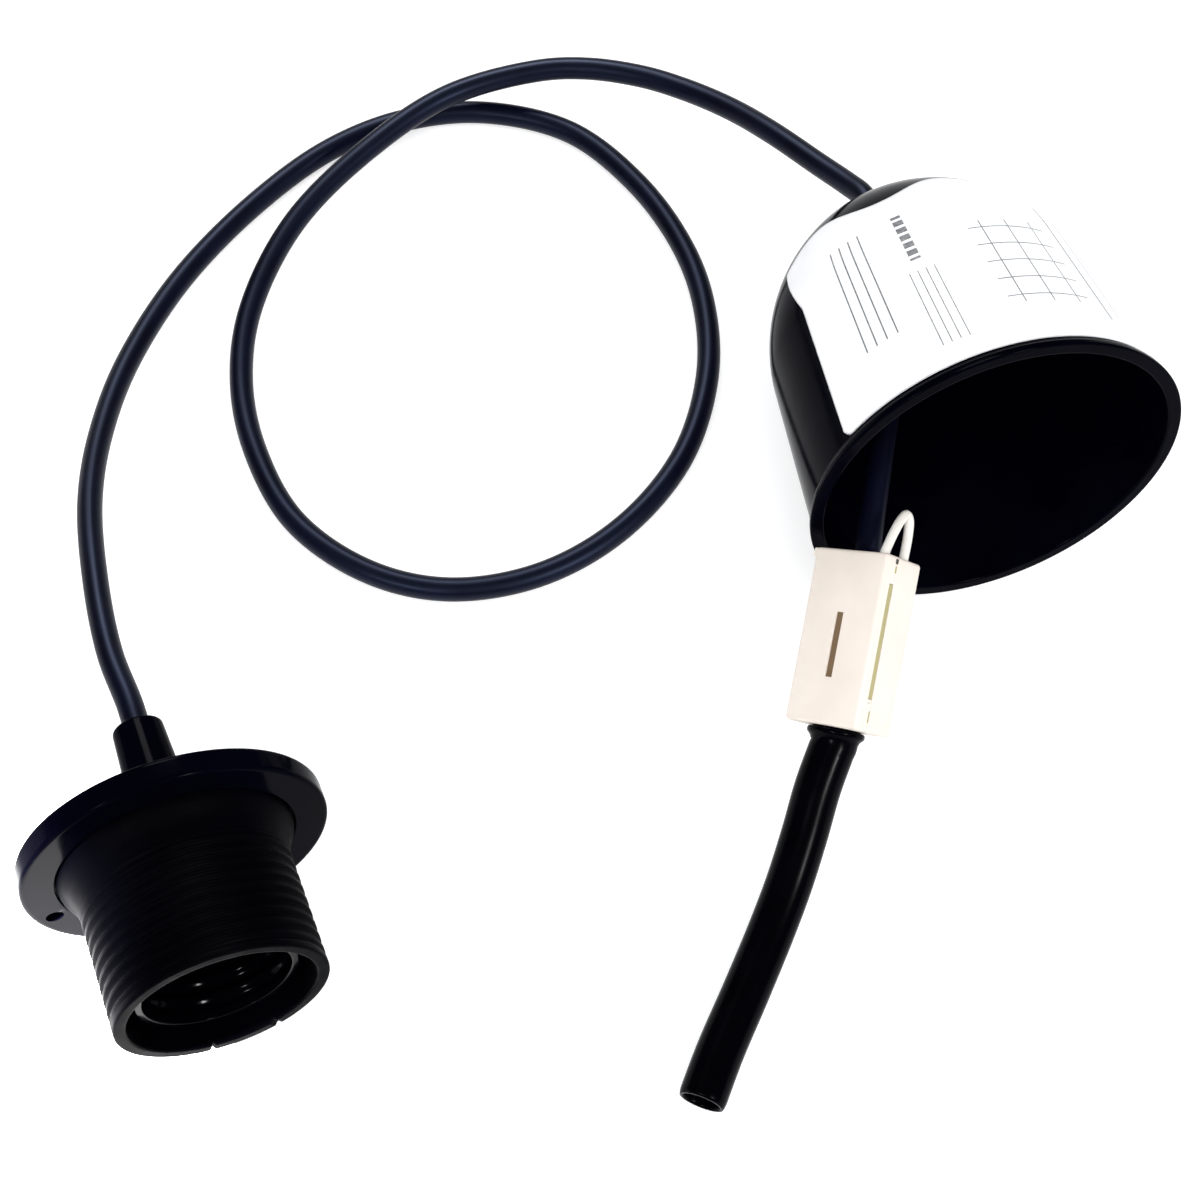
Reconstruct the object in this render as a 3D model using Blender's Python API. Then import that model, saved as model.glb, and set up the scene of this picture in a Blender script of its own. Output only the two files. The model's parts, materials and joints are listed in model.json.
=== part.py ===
"""Pendant lamp cord set, laid on a table: ceiling cup, cord, terminal box with a hanging loop, and lampholder.

Metres, +Z up. The origin is on the table, under the middle of the rigid pieces. Each sub-assembly is
drawn in its own frame (an empty) and laid down as one: the cup on its wall, the lampholder on its flange,
the terminal box propped against the cup's mouth.
"""

import math

import bmesh
import bpy
import numpy as np
from mathutils import Vector

# Fits shared by all pieces
SEAT_GAP = 0.0003
CUT_MARGIN = 0.002

# Cord and its two cores
CORD_DIAMETER = 0.0052
CORD_CLEARANCE = 0.0005
CORE_DIAMETER = 0.0020
CORE_CLEARANCE = 0.0003
CORE_SPREAD = 0.0012

# Ceiling cup
CUP_RIM_DIAMETER = 0.0772
CUP_HEIGHT = 0.0710
CUP_WALL = 0.0020
CUP_TAPER = math.radians(5.4)
CUP_DOME_RADIUS = 0.0385
CUP_LIP_WIDTH = 0.0009
CUP_LIP_HEIGHT = 0.0015
CUP_X = 0.0777
CUP_MOUTH_Y = -0.0132

# Rubber bush that grips the cord in the cup's crown
BUSH_NECK_DIAMETER = 0.0092
BUSH_FLANGE_DIAMETER = 0.0128
BUSH_FLANGE_THICKNESS = 0.0014
CROWN_MARGIN = 0.0006
CUP_CROWN_DIAMETER = BUSH_FLANGE_DIAMETER + 2 * CROWN_MARGIN

# Paper label on the cup's wall, with angles measured from the top of the lying cup
LABEL_THICKNESS = 0.00025
LABEL_START = math.radians(-57.7)
LABEL_LEAN = math.radians(8.3)
LABEL_END = math.radians(78.0)
LABEL_FROM_LIP = 0.0005
LABEL_TOP = 0.0543
LABEL_WAVE = 0.0026
LABEL_WAVES = 6.3
LABEL_WAVE_SHIFT = 0.386

# Terminal box: X across it, Y toward the hanging loop, Z out of its front face
BOX_WIDTH = 0.0170
BOX_LENGTH = 0.0345
BOX_THICKNESS = 0.0120
BOX_WALL = 0.0013
BOX_CORNER = 0.0007
COVER_DEPTH = 0.00355
SLOT_LENGTH = 0.0128
SLOT_WIDTH = 0.00155
SLOT_Y = -0.00155
SEAM_LENGTH = 0.0234
SEAM_HEIGHT = 0.0011
LATCH_WIDTH = 0.0030
LATCH_THICKNESS = 0.0008
LATCH_REACH = 0.0014
LATCH_Y = (-0.0130, 0.0040)
BOX_PLACE = (0.0416, -0.0357, 0.0282)
BOX_HEADING = math.radians(27.15)
BOX_SLOPE = math.radians(21.7)
BOX_ROLL = math.radians(36.9)

# Terminals in the box
BLOCK_LENGTH = 0.0150
BLOCK_Y = -0.0025
BLOCK_WALL = 0.0009
BARRIER_WIDTH = 0.0016
TERMINAL_WIDTH = 0.0036
TERMINAL_HEIGHT = 0.0040
TERMINAL_SPACING = 0.0060
TERMINAL_LENGTH = 0.0126
SCREW_SPACING = 0.0072
SCREW_DIAMETER = 0.0016
SCREW_HEAD_DIAMETER = 0.0029
SCREW_HEAD_HEIGHT = 0.0012
SCREW_SLOT = 0.0005
SCREW_TURN = math.radians(35.0)
WIRE_HEIGHT = 0.0017

# Cord clamp in the box
CLAMP_Y = 0.0126
CLAMP_DEPTH = 0.0040
CLAMP_THICKNESS = 0.0017
CLAMP_END = 0.0012
CLAMP_DIP = 0.0006
CORD_ENTRY_X = -0.0012
CORD_ENTRY_Z = -0.0010
BOSS_DIAMETER = 0.0026
CLAMP_SCREW_LENGTH = 0.0046

# Hanging loop, a ring hooked on a peg inside the box
LOOP_STRAND = 0.0019
LOOP_X = 0.0059
LOOP_SPREAD = 0.0066
LOOP_MIDDLE_Z = 0.0001
LOOP_REACH = 0.0087
LOOP_LEAN = 0.0008
LOOP_SKEW = 1.35
PEG_DIAMETER = 0.0032
PEG_FROM_END = 0.0066

# Insulating sleeve pushed into the box
SLEEVE_DIAMETER = 0.0092
SLEEVE_BORE = 0.0072
SLEEVE_FLARE_DIAMETER = 0.0114
SLEEVE_FLARE_LENGTH = 0.0012
SLEEVE_INSERTION = 0.0020
SLEEVE_STRAIGHT = 0.0025

# Lampholder: Z out of its mouth, zero on the flange's front face, Y up
FLANGE_DIAMETER = 0.0580
FLANGE_RIM = 0.0047
FLANGE_EDGE = 0.0006
FLANGE_HOLE_DIAMETER = 0.0034
FLANGE_HOLE_RADIUS = 0.0255
FLANGE_HOLE_ANGLE = math.radians(193.0)
DOME_FOOT_DIAMETER = 0.0460
DOME_HEIGHT = 0.0070
DOME_WALL = 0.0022
COLLAR_BASE_DIAMETER = 0.0116
COLLAR_TIP_DIAMETER = 0.0098
COLLAR_LENGTH = 0.0173
COLLAR_BORE = 0.0076
COLLAR_LIP = 0.0020
BARREL_DIAMETER = 0.0396
BARREL_LENGTH = 0.0306
BARREL_WALL = 0.0024
BARREL_EDGE = 0.0006
NECK_DIAMETER = 0.0446
NECK_LENGTH = 0.0062
NECK_BEND_HEIGHT = 0.0038
NECK_BEND_DIAMETER = 0.0408
RECESS_DEPTH = 0.0020
CAP_CAVITY_DIAMETER = 0.0320
INSERT_FLOOR = 0.0050
INSERT_THICKNESS = 0.0030
INSERT_LEDGE = 0.0018
SOCKET_DIAMETER = 0.0274
SOCKET_WALL = 0.0017
SOCKET_END = 0.0270
HOLDER_PLACE = (-0.0933, -0.0458)
HOLDER_HEADING = math.radians(6.57)
HOLDER_TILT = math.radians(4.6)

# Contacts and terminals in the lampholder
CONTACT_THICKNESS = 0.0006
CONTACT_WIDTH = 0.0050
CONTACT_FOOT = 0.0010
CENTRE_CONTACT_RISE = 0.0040
CENTRE_CONTACT_REACH = 0.0085
CENTRE_CONTACT_PAD = 0.0018
CENTRE_CONTACT_DROOP = 0.0014
SIDE_CONTACT_HEIGHT = 0.0096
SIDE_CONTACT_FOOT = 0.0040
SIDE_CONTACT_TIP = 0.0027
SIDE_CONTACT_LEAN = 0.0011
SIDE_CONTACT_GAP = 0.0016
POST_WIDTH = 0.0050
POST_DEPTH = 0.0062
POST_HEIGHT = 0.0042
POST_X = 0.0075
POST_BORE_DEPTH = 0.0034
POST_SCREW_HEIGHT = 0.0019
POST_WIRE_DEPTH = 0.0025

# Cord ends and the route between them, on the table
CORD_END_IN_BOX = 0.0102
CORD_END_IN_CAP = 0.0088
GRIP_LENGTH = 0.0100
CORD_STRAIGHT = 0.0060
BUSH_TRAVEL = 0.0080
CORD_BEND_MARGIN = 0.0015
CORD_STEP = 0.0110
FINE_STEPS = 20
CORD_ROUTE = [
    (0.0512, -0.0154, 0.0350),
    (0.0596, 0.0028, 0.0381),
    (0.0689, 0.0222, 0.0373),
    (0.0750, 0.0385, 0.0335),
]
CORD_LOOP = [
    (0.0761, 0.0721, 0.0271),
    (0.0725, 0.0807, 0.0246),
    (0.0659, 0.0946, 0.0216),
    (0.0599, 0.1064, 0.0181),
    (0.0522, 0.1171, 0.0151),
    (0.0439, 0.1248, 0.0136),
    (0.0324, 0.1315, 0.0124),
    (0.0209, 0.1350, 0.0112),
    (-0.0007, 0.1346, 0.0096),
    (-0.0223, 0.1250, 0.0085),
    (-0.0435, 0.1098, 0.0065),
    (-0.0578, 0.0903, 0.0042),
    (-0.0634, 0.0728, 0.0030),
    (-0.0639, 0.0542, 0.0028),
    (-0.0588, 0.0338, 0.0028),
    (-0.0459, 0.0177, 0.0028),
    (-0.0304, 0.0093, 0.0028),
    (-0.0111, 0.0078, 0.0028),
    (0.0082, 0.0139, 0.0028),
    (0.0257, 0.0274, 0.0028),
    (0.0371, 0.0459, 0.0028),
    (0.0419, 0.0636, 0.0028),
    (0.0422, 0.0810, 0.0028),
    (0.0368, 0.1025, 0.0028),
    (0.0250, 0.1222, 0.0028),
    (0.0061, 0.1333, 0.0028),
    (-0.0132, 0.1356, 0.0028),
    (-0.0311, 0.1316, 0.0028),
    (-0.0505, 0.1206, 0.0032),
    (-0.0709, 0.1027, 0.0048),
    (-0.0864, 0.0807, 0.0082),
    (-0.0947, 0.0609, 0.0124),
    (-0.0990, 0.0417, 0.0171),
    (-0.1002, 0.0198, 0.0216),
    (-0.0995, 0.0014, 0.0246),
]
SLEEVE_ROUTE = [
    (0.0282, -0.0587, 0.0169),
    (0.0233, -0.0663, 0.0122),
    (0.0182, -0.0737, 0.0084),
    (0.0123, -0.0814, 0.0061),
    (0.0043, -0.0913, 0.0052),
    (-0.0037, -0.1010, 0.0050),
    (-0.0098, -0.1092, 0.0050),
]


# Materials

def material(name, colour, roughness, metallic=0.0):
    made = bpy.data.materials.new(name)
    made.use_nodes = True
    shader = made.node_tree.nodes["Principled BSDF"]
    shader.inputs["Base Color"].default_value = (*colour, 1.0)
    shader.inputs["Roughness"].default_value = roughness
    shader.inputs["Metallic"].default_value = metallic
    return made


def make_materials():
    return {
        "gloss_black": material("gloss_black", (0.006, 0.006, 0.009), 0.18),
        "satin_black": material("satin_black", (0.007, 0.007, 0.010), 0.38),
        "cord_black": material("cord_black", (0.006, 0.007, 0.016), 0.33),
        "rubber": material("rubber", (0.012, 0.012, 0.012), 0.65),
        "paper": material("paper", (0.86, 0.86, 0.85), 0.75),
        "ivory": material("ivory", (0.83, 0.79, 0.73), 0.45),
        "nylon": material("nylon", (0.86, 0.84, 0.80), 0.40),
        "phenolic": material("phenolic", (0.21, 0.10, 0.04), 0.50),
        "brass": material("brass", (0.72, 0.50, 0.20), 0.30, 1.0),
        "steel": material("steel", (0.62, 0.62, 0.64), 0.30, 1.0),
        "brown_core": material("brown_core", (0.20, 0.08, 0.03), 0.45),
        "blue_core": material("blue_core", (0.03, 0.12, 0.50), 0.45),
    }


# Modelling helpers

def add_object(name, data, parent, surface):
    obj = bpy.data.objects.new(name, data)
    bpy.context.scene.collection.objects.link(obj)
    obj.parent = parent
    if surface is not None:
        data.materials.append(surface)
    return obj


def add_frame(name, parent, location, rotation=(0.0, 0.0, 0.0), order="XYZ"):
    frame = bpy.data.objects.new(name, None)
    bpy.context.scene.collection.objects.link(frame)
    frame.parent = parent
    frame.location = location
    frame.rotation_mode = order
    frame.rotation_euler = rotation
    return frame


def mesh_of(name, points, faces):
    mesh = bpy.data.meshes.new(name)
    mesh.from_pydata([tuple(p) for p in points], [], faces)
    mesh.validate()
    return mesh


def turned(name, profile, parent, surface, steps=48, closed=True):
    """A solid of revolution about Z from (radius, height) points that run down the outer side."""
    count = len(profile)
    edges = [(i, (i + 1) % count) for i in range(count if closed else count - 1)]
    mesh = bpy.data.meshes.new(name)
    mesh.from_pydata([(r, 0.0, z) for r, z in profile], edges, [])
    obj = add_object(name, mesh, parent, surface)
    screw = obj.modifiers.new("turn", "SCREW")
    screw.axis = "Z"
    screw.steps = steps
    screw.render_steps = steps
    screw.use_merge_vertices = True
    screw.merge_threshold = 1e-6
    screw.use_smooth_shade = True
    return obj


def box(name, low, high, parent, surface, rounding=0.0, flat_z=None):
    """A block between two corners. Its edges are rounded, apart from those that lie in the plane flat_z."""
    made = bmesh.new()
    bmesh.ops.create_cube(made, size=1.0)
    middle = [(a + b) / 2 for a, b in zip(low, high)]
    size = [b - a for a, b in zip(low, high)]
    bmesh.ops.scale(made, vec=size, verts=made.verts)
    bmesh.ops.translate(made, vec=middle, verts=made.verts)
    if rounding:
        edges = [
            e for e in made.edges
            if flat_z is None or any(abs(v.co.z - flat_z) > 1e-7 for v in e.verts)
        ]
        bmesh.ops.bevel(
            made, geom=edges, offset=rounding, segments=3, profile=0.5, affect="EDGES"
        )
    mesh = bpy.data.meshes.new(name)
    made.to_mesh(mesh)
    made.free()
    return add_object(name, mesh, parent, surface)


def rod(name, radius, start, end, parent, surface, sides=20):
    """A plain round bar between two points."""
    start, end = Vector(start), Vector(end)
    made = bmesh.new()
    bmesh.ops.create_cone(
        made, cap_ends=True, segments=sides, radius1=radius, radius2=radius,
        depth=(end - start).length,
    )
    turn = Vector((0, 0, 1)).rotation_difference(end - start).to_matrix()
    bmesh.ops.rotate(made, matrix=turn, verts=made.verts)
    bmesh.ops.translate(made, vec=(start + end) / 2, verts=made.verts)
    mesh = bpy.data.meshes.new(name)
    made.to_mesh(mesh)
    made.free()
    return add_object(name, mesh, parent, surface)


def combine(target, other, operation):
    """Cuts the other solid from the target, or joins it, and hides the other."""
    other.hide_render = True
    other.display_type = "WIRE"
    step = target.modifiers.new(f"{operation.lower()} {other.name}", "BOOLEAN")
    step.operation = operation
    step.solver = "EXACT"
    step.object = other


def cut(target, cutter):
    combine(target, cutter, "DIFFERENCE")


def join(target, other):
    combine(target, other, "UNION")


def smooth_path(points, step, closed=False):
    """Points at even steps along a centripetal Catmull-Rom curve through the given points."""
    p = np.array(points, float)
    if closed:
        p = np.vstack([p[-1], p, p[:2]])
    else:
        p = np.vstack([2 * p[0] - p[1], p, 2 * p[-1] - p[-2]])
    knots = np.concatenate([[0.0], np.cumsum(np.linalg.norm(np.diff(p, axis=0), axis=1) ** 0.5)])
    dense = []
    for i in range(1, len(p) - 2):
        t0, t1, t2, t3 = knots[i - 1:i + 3]
        t = np.linspace(t1, t2, 24, endpoint=False)[:, None]
        a1 = (t1 - t) / (t1 - t0) * p[i - 1] + (t - t0) / (t1 - t0) * p[i]
        a2 = (t2 - t) / (t2 - t1) * p[i] + (t - t1) / (t2 - t1) * p[i + 1]
        a3 = (t3 - t) / (t3 - t2) * p[i + 1] + (t - t2) / (t3 - t2) * p[i + 2]
        b1 = (t2 - t) / (t2 - t0) * a1 + (t - t0) / (t2 - t0) * a2
        b2 = (t3 - t) / (t3 - t1) * a2 + (t - t1) / (t3 - t1) * a3
        dense.append((t2 - t) / (t2 - t1) * b1 + (t - t1) / (t2 - t1) * b2)
    dense = np.vstack(dense + [p[-2:-1]])
    along = np.concatenate([[0.0], np.cumsum(np.linalg.norm(np.diff(dense, axis=0), axis=1))])
    count = max(3, round(along[-1] / step) + 1)
    even = np.linspace(0.0, along[-1], count)
    if closed:
        even = even[:-1]
    return np.column_stack([np.interp(even, along, dense[:, k]) for k in range(3)])


def tube(name, path, diameter, parent, surface, closed=False, resolution=2):
    """A round strand along a path, as a bevelled curve with filled caps."""
    curve = bpy.data.curves.new(name, "CURVE")
    curve.dimensions = "3D"
    curve.bevel_depth = diameter / 2
    curve.bevel_resolution = resolution
    curve.use_fill_caps = not closed
    spline = curve.splines.new("POLY")
    spline.points.add(len(path) - 1)
    for point, place in zip(spline.points, path):
        point.co = (*place, 1.0)
    spline.use_cyclic_u = closed
    return add_object(name, curve, parent, surface)


def hollow_tube(name, path, outer, bore, parent, surface, sides=16):
    """A tube along a path with an outer diameter for each point, an open bore and flat ring ends."""
    path = np.array(path, float)
    ahead = np.gradient(path, axis=0)
    ahead /= np.linalg.norm(ahead, axis=1)[:, None]
    across = np.cross(ahead, (0.0, 0.0, 1.0))
    across /= np.linalg.norm(across, axis=1)[:, None]
    upward = np.cross(across, ahead)
    turn = np.linspace(0.0, 2 * math.pi, sides, endpoint=False)
    round_ = np.cos(turn)[None, :, None] * across[:, None] + np.sin(turn)[None, :, None] * upward[:, None]
    outside = path[:, None] + np.array(outer)[:, None, None] / 2 * round_
    inside = path[:, None] + bore / 2 * round_
    count = len(path)
    points = np.concatenate([outside.reshape(-1, 3), inside.reshape(-1, 3)])
    shift = count * sides
    faces = []
    for j in range(sides):
        k = (j + 1) % sides
        for i in range(count - 1):
            a, b = i * sides, (i + 1) * sides
            faces.append((a + j, b + j, b + k, a + k))
            faces.append((shift + a + j, shift + a + k, shift + b + k, shift + b + j))
        last = (count - 1) * sides
        faces.append((j, k, shift + k, shift + j))
        faces.append((last + j, shift + last + j, shift + last + k, last + k))
    obj = add_object(name, mesh_of(name, points, faces), parent, surface)
    face_out(obj.data)
    return obj


def face_out(mesh):
    made = bmesh.new()
    made.from_mesh(mesh)
    bmesh.ops.recalc_face_normals(made, faces=made.faces)
    made.to_mesh(mesh)
    made.free()


def strip(name, midline, thickness, width, parent, surface):
    """A bent metal strip: the midline's (x, z) points thickened and extruded along Y."""
    line = np.array(midline, float)
    ahead = np.gradient(line, axis=0)
    ahead /= np.linalg.norm(ahead, axis=1)[:, None]
    side = np.column_stack([-ahead[:, 1], ahead[:, 0]]) * thickness / 2
    outline = np.vstack([line + side, (line - side)[::-1]])
    count = len(outline)
    near = [(x, -width / 2, z) for x, z in outline]
    far = [(x, width / 2, z) for x, z in outline]
    half = len(line)
    faces = [(i, (i + 1) % count, count + (i + 1) % count, count + i) for i in range(count)]
    for i in range(half - 1):
        j = count - 1 - i
        faces.append((i, i + 1, j - 1, j))
        faces.append((count + i, count + j, count + j - 1, count + i + 1))
    obj = add_object(name, mesh_of(name, near + far, faces), parent, surface)
    face_out(obj.data)
    return obj


def slotted_screw(name, parent, surface, place, length, turn=0.0, rotation=(0.0, 0.0, 0.0)):
    """A cheese-head screw whose head sits above its own origin, with its shank down -Z."""
    head, shank = SCREW_HEAD_DIAMETER / 2, SCREW_DIAMETER / 2
    chamfer = 0.15 * SCREW_HEAD_HEIGHT
    profile = [
        (0.0, SCREW_HEAD_HEIGHT),
        (head - chamfer, SCREW_HEAD_HEIGHT),
        (head, SCREW_HEAD_HEIGHT - chamfer),
        (head, 0.0),
        (shank, 0.0),
        (shank, -length),
        (0.0, -length),
    ]
    seat = add_frame(f"{name}_axis", parent, place, rotation)
    screw = turned(name, profile, seat, surface, steps=16, closed=False)
    reach = SCREW_HEAD_DIAMETER
    slot = box(
        f"{name}_slot",
        (-reach, -SCREW_SLOT / 2, SCREW_HEAD_HEIGHT / 2),
        (reach, SCREW_SLOT / 2, SCREW_HEAD_HEIGHT + CUT_MARGIN),
        seat, None,
    )
    slot.rotation_euler = (0.0, 0.0, turn)
    cut(screw, slot)
    return screw


# Ceiling cup

def cup_wall_radius(height):
    """Outer radius of the cup's straight wall at a height above its mouth."""
    return CUP_RIM_DIAMETER / 2 - CUP_LIP_WIDTH - height * math.tan(CUP_TAPER)


def dome_centre():
    """Centre (radius, height) of the arc that leaves the wall smoothly and ends at the crown's flat seat."""
    reach = CUP_RIM_DIAMETER / 2 - CUP_LIP_WIDTH - CUP_DOME_RADIUS / math.cos(CUP_TAPER)
    gap = reach - CUP_CROWN_DIAMETER / 2
    lean = math.tan(CUP_TAPER)
    square = 1 + lean ** 2
    middle = CUP_HEIGHT + gap * lean
    root = middle ** 2 - square * (gap ** 2 + CUP_HEIGHT ** 2 - CUP_DOME_RADIUS ** 2)
    height = (middle - math.sqrt(root)) / square
    return reach - height * lean, height


def cup_dome(inset, count=9):
    """Points of the dome's arc from the crown's flat seat to the wall, drawn in by inset."""
    centre_r, centre_z = dome_centre()
    radius = CUP_DOME_RADIUS - inset
    start = math.asin((CUP_HEIGHT - inset - centre_z) / radius)
    angles = np.linspace(start, CUP_TAPER, count)
    return [(centre_r + radius * math.cos(a), centre_z + radius * math.sin(a)) for a in angles]


def cup_tilt():
    """Tilt of the lying cup: its lip's edge and the widest place of its shoulder both touch the table."""
    rim = CUP_RIM_DIAMETER / 2
    return min(math.atan2(rim - r, z) for r, z in cup_dome(0.0))


def build_cup(layout, surfaces):
    tilt = cup_tilt()
    rim = CUP_RIM_DIAMETER / 2
    place = (CUP_X, CUP_MOUTH_Y, rim * math.cos(tilt))
    frame = add_frame("cup_frame", layout, place, (-math.pi / 2 - tilt, 0.0, 0.0))
    hole = BUSH_NECK_DIAMETER / 2 + SEAT_GAP
    lip_edge = rim - CUP_LIP_HEIGHT * math.tan(tilt)
    inner_mouth = rim - CUP_LIP_WIDTH - CUP_WALL / math.cos(CUP_TAPER)
    outer = [(hole, CUP_HEIGHT)] + cup_dome(0.0) + [
        (cup_wall_radius(CUP_LIP_HEIGHT + CUP_LIP_WIDTH), CUP_LIP_HEIGHT + CUP_LIP_WIDTH),
        (lip_edge - CUP_LIP_WIDTH / 4, CUP_LIP_HEIGHT),
        (rim, 0.0),
    ]
    inner = [(inner_mouth, 0.0)] + cup_dome(CUP_WALL)[::-1] + [(hole, CUP_HEIGHT - CUP_WALL)]
    turned("ceiling_cup", outer + inner, frame, surfaces["gloss_black"], steps=46)
    build_bush(frame, surfaces)
    build_label(frame, surfaces)
    return frame


def build_bush(frame, surfaces):
    """Grommet whose groove holds the crown's edge."""
    bore = CORD_DIAMETER / 2 + CORD_CLEARANCE
    neck, flange = BUSH_NECK_DIAMETER / 2, BUSH_FLANGE_DIAMETER / 2
    top = CUP_HEIGHT + SEAT_GAP
    bottom = CUP_HEIGHT - CUP_WALL - SEAT_GAP
    edge = 0.3 * BUSH_FLANGE_THICKNESS
    profile = [
        (bore, top + BUSH_FLANGE_THICKNESS),
        (flange - edge, top + BUSH_FLANGE_THICKNESS),
        (flange, top + BUSH_FLANGE_THICKNESS - edge),
        (flange, top),
        (neck, top),
        (neck, bottom),
        (flange, bottom),
        (flange, bottom - BUSH_FLANGE_THICKNESS),
        (bore, bottom - BUSH_FLANGE_THICKNESS),
    ]
    turned("cord_bush", profile, frame, surfaces["rubber"], steps=28)


def build_label(frame, surfaces):
    """A sheet wrapped on the wall and the dome: a wavy upper edge, and a first edge that leans on the dome."""
    around, along = 21, 7
    low = CUP_LIP_HEIGHT + CUP_LIP_WIDTH + LABEL_FROM_LIP
    bend = dome_tangent()
    points = []
    for face in (SEAT_GAP, SEAT_GAP + LABEL_THICKNESS):
        for share in np.linspace(0.0, 1.0, around):
            crest = label_angle(share, 1.0)
            top = LABEL_TOP + LABEL_WAVE * math.sin(LABEL_WAVES * crest + LABEL_WAVE_SHIFT)
            for height in [low, *np.linspace(bend, top, along - 1)]:
                angle = label_angle(share, max(0.0, (height - bend) / (top - bend)))
                radius = label_radius(height) + face
                points.append((radius * math.sin(angle), -radius * math.cos(angle), height))
    sheet = around * along
    faces = []
    for i in range(around - 1):
        for j in range(along - 1):
            a, b = i * along + j, (i + 1) * along + j
            faces.append((a, a + 1, b + 1, b))
            faces.append((sheet + a, sheet + b, sheet + b + 1, sheet + a + 1))
    border = [i * along for i in range(around)]
    border += [(around - 1) * along + j for j in range(1, along)]
    border += [i * along + along - 1 for i in range(around - 2, -1, -1)]
    border += [j for j in range(along - 2, 0, -1)]
    for a, b in zip(border, border[1:] + border[:1]):
        faces.append((a, b, sheet + b, sheet + a))
    obj = add_object("paper_label", mesh_of("paper_label", points, faces), frame, surfaces["paper"])
    face_out(obj.data)
    return obj


def label_angle(share, climb):
    """Angle at a share of the way round the label, whose first edge leans out as it climbs the dome."""
    start = LABEL_START - LABEL_LEAN * climb
    return start + share * (LABEL_END - start)


def dome_tangent():
    """Height where the straight wall turns into the dome."""
    return dome_centre()[1] + CUP_DOME_RADIUS * math.sin(CUP_TAPER)


def label_radius(height):
    """Radius of the cup's outside at a height, on the wall or on the dome's arc."""
    if height <= dome_tangent():
        return cup_wall_radius(height)
    centre_r, centre_z = dome_centre()
    return centre_r + math.sqrt(CUP_DOME_RADIUS ** 2 - (height - centre_z) ** 2)


# Terminal box

FRONT = BOX_THICKNESS / 2
BACK = -BOX_THICKNESS / 2
SEAM = FRONT - COVER_DEPTH
HALF_WIDTH = BOX_WIDTH / 2
HALF_LENGTH = BOX_LENGTH / 2
FLOOR = BACK + BOX_WALL
CORD_RADIUS = CORD_DIAMETER / 2
BOSS_SPREAD = CORD_RADIUS + SEAT_GAP + BOSS_DIAMETER / 2
CLAMP_SEAT = CORD_ENTRY_Z + CORD_RADIUS - CLAMP_DIP


def loop_slot(name, frame, low_z, high_z):
    """Cutter for the slot in the end wall that both strands of the loop pass."""
    half = LOOP_STRAND / 2 + SEAT_GAP
    return box(
        name,
        (LOOP_X - half, HALF_LENGTH - BOX_WALL - CUT_MARGIN, low_z),
        (LOOP_X + half, HALF_LENGTH + CUT_MARGIN, high_z),
        frame, None,
    )


def sleeve_hole(name, frame):
    return rod(
        name, SLEEVE_DIAMETER / 2 + SEAT_GAP,
        (0.0, -HALF_LENGTH - CUT_MARGIN, 0.0),
        (0.0, -HALF_LENGTH + BOX_WALL + CUT_MARGIN / 4, 0.0),
        frame, None, sides=28,
    )


def build_box_base(frame, surfaces):
    top = SEAM - SEAT_GAP / 2
    base = box(
        "connector_base",
        (-HALF_WIDTH, -HALF_LENGTH, BACK), (HALF_WIDTH, HALF_LENGTH, top),
        frame, surfaces["ivory"], BOX_CORNER, flat_z=top,
    )
    cut(base, box(
        "base_cavity",
        (-HALF_WIDTH + BOX_WALL, -HALF_LENGTH + BOX_WALL, FLOOR),
        (HALF_WIDTH - BOX_WALL, HALF_LENGTH - BOX_WALL, top + CUT_MARGIN),
        frame, None,
    ))
    entry = CORD_RADIUS + SEAT_GAP
    end = (HALF_LENGTH - BOX_WALL - CUT_MARGIN / 2, HALF_LENGTH + CUT_MARGIN)
    cut(base, rod(
        "cord_entry_round", entry,
        (CORD_ENTRY_X, end[0], CORD_ENTRY_Z), (CORD_ENTRY_X, end[1], CORD_ENTRY_Z),
        frame, None, sides=24,
    ))
    cut(base, box(
        "cord_entry_neck",
        (CORD_ENTRY_X - entry, end[0], CORD_ENTRY_Z),
        (CORD_ENTRY_X + entry, end[1], top + CUT_MARGIN),
        frame, None,
    ))
    strand_low = LOOP_MIDDLE_Z - LOOP_SPREAD / 2 - LOOP_STRAND / 2 - SEAT_GAP
    cut(base, loop_slot("base_loop_slot", frame, strand_low, top + CUT_MARGIN))
    cut(base, sleeve_hole("base_sleeve_hole", frame))
    peg_y = HALF_LENGTH - PEG_FROM_END
    join(base, rod(
        "loop_peg", PEG_DIAMETER / 2,
        (LOOP_X - LOOP_STRAND / 2, peg_y, LOOP_MIDDLE_Z),
        (HALF_WIDTH - BOX_WALL / 2, peg_y, LOOP_MIDDLE_Z),
        frame, None, sides=16,
    ))
    for side, label in ((-1, "left"), (1, "right")):
        x = CORD_ENTRY_X + side * BOSS_SPREAD
        join(base, rod(
            f"clamp_boss_{label}", BOSS_DIAMETER / 2,
            (x, CLAMP_Y, FLOOR - BOX_WALL / 2), (x, CLAMP_Y, CLAMP_SEAT), frame, None,
        ))
        cut(base, rod(
            f"clamp_boss_hole_{label}", SCREW_DIAMETER / 2 + SEAT_GAP / 2,
            (x, CLAMP_Y, FLOOR + SEAT_GAP), (x, CLAMP_Y, CLAMP_SEAT + CUT_MARGIN), frame, None, sides=14,
        ))
    return base


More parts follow.
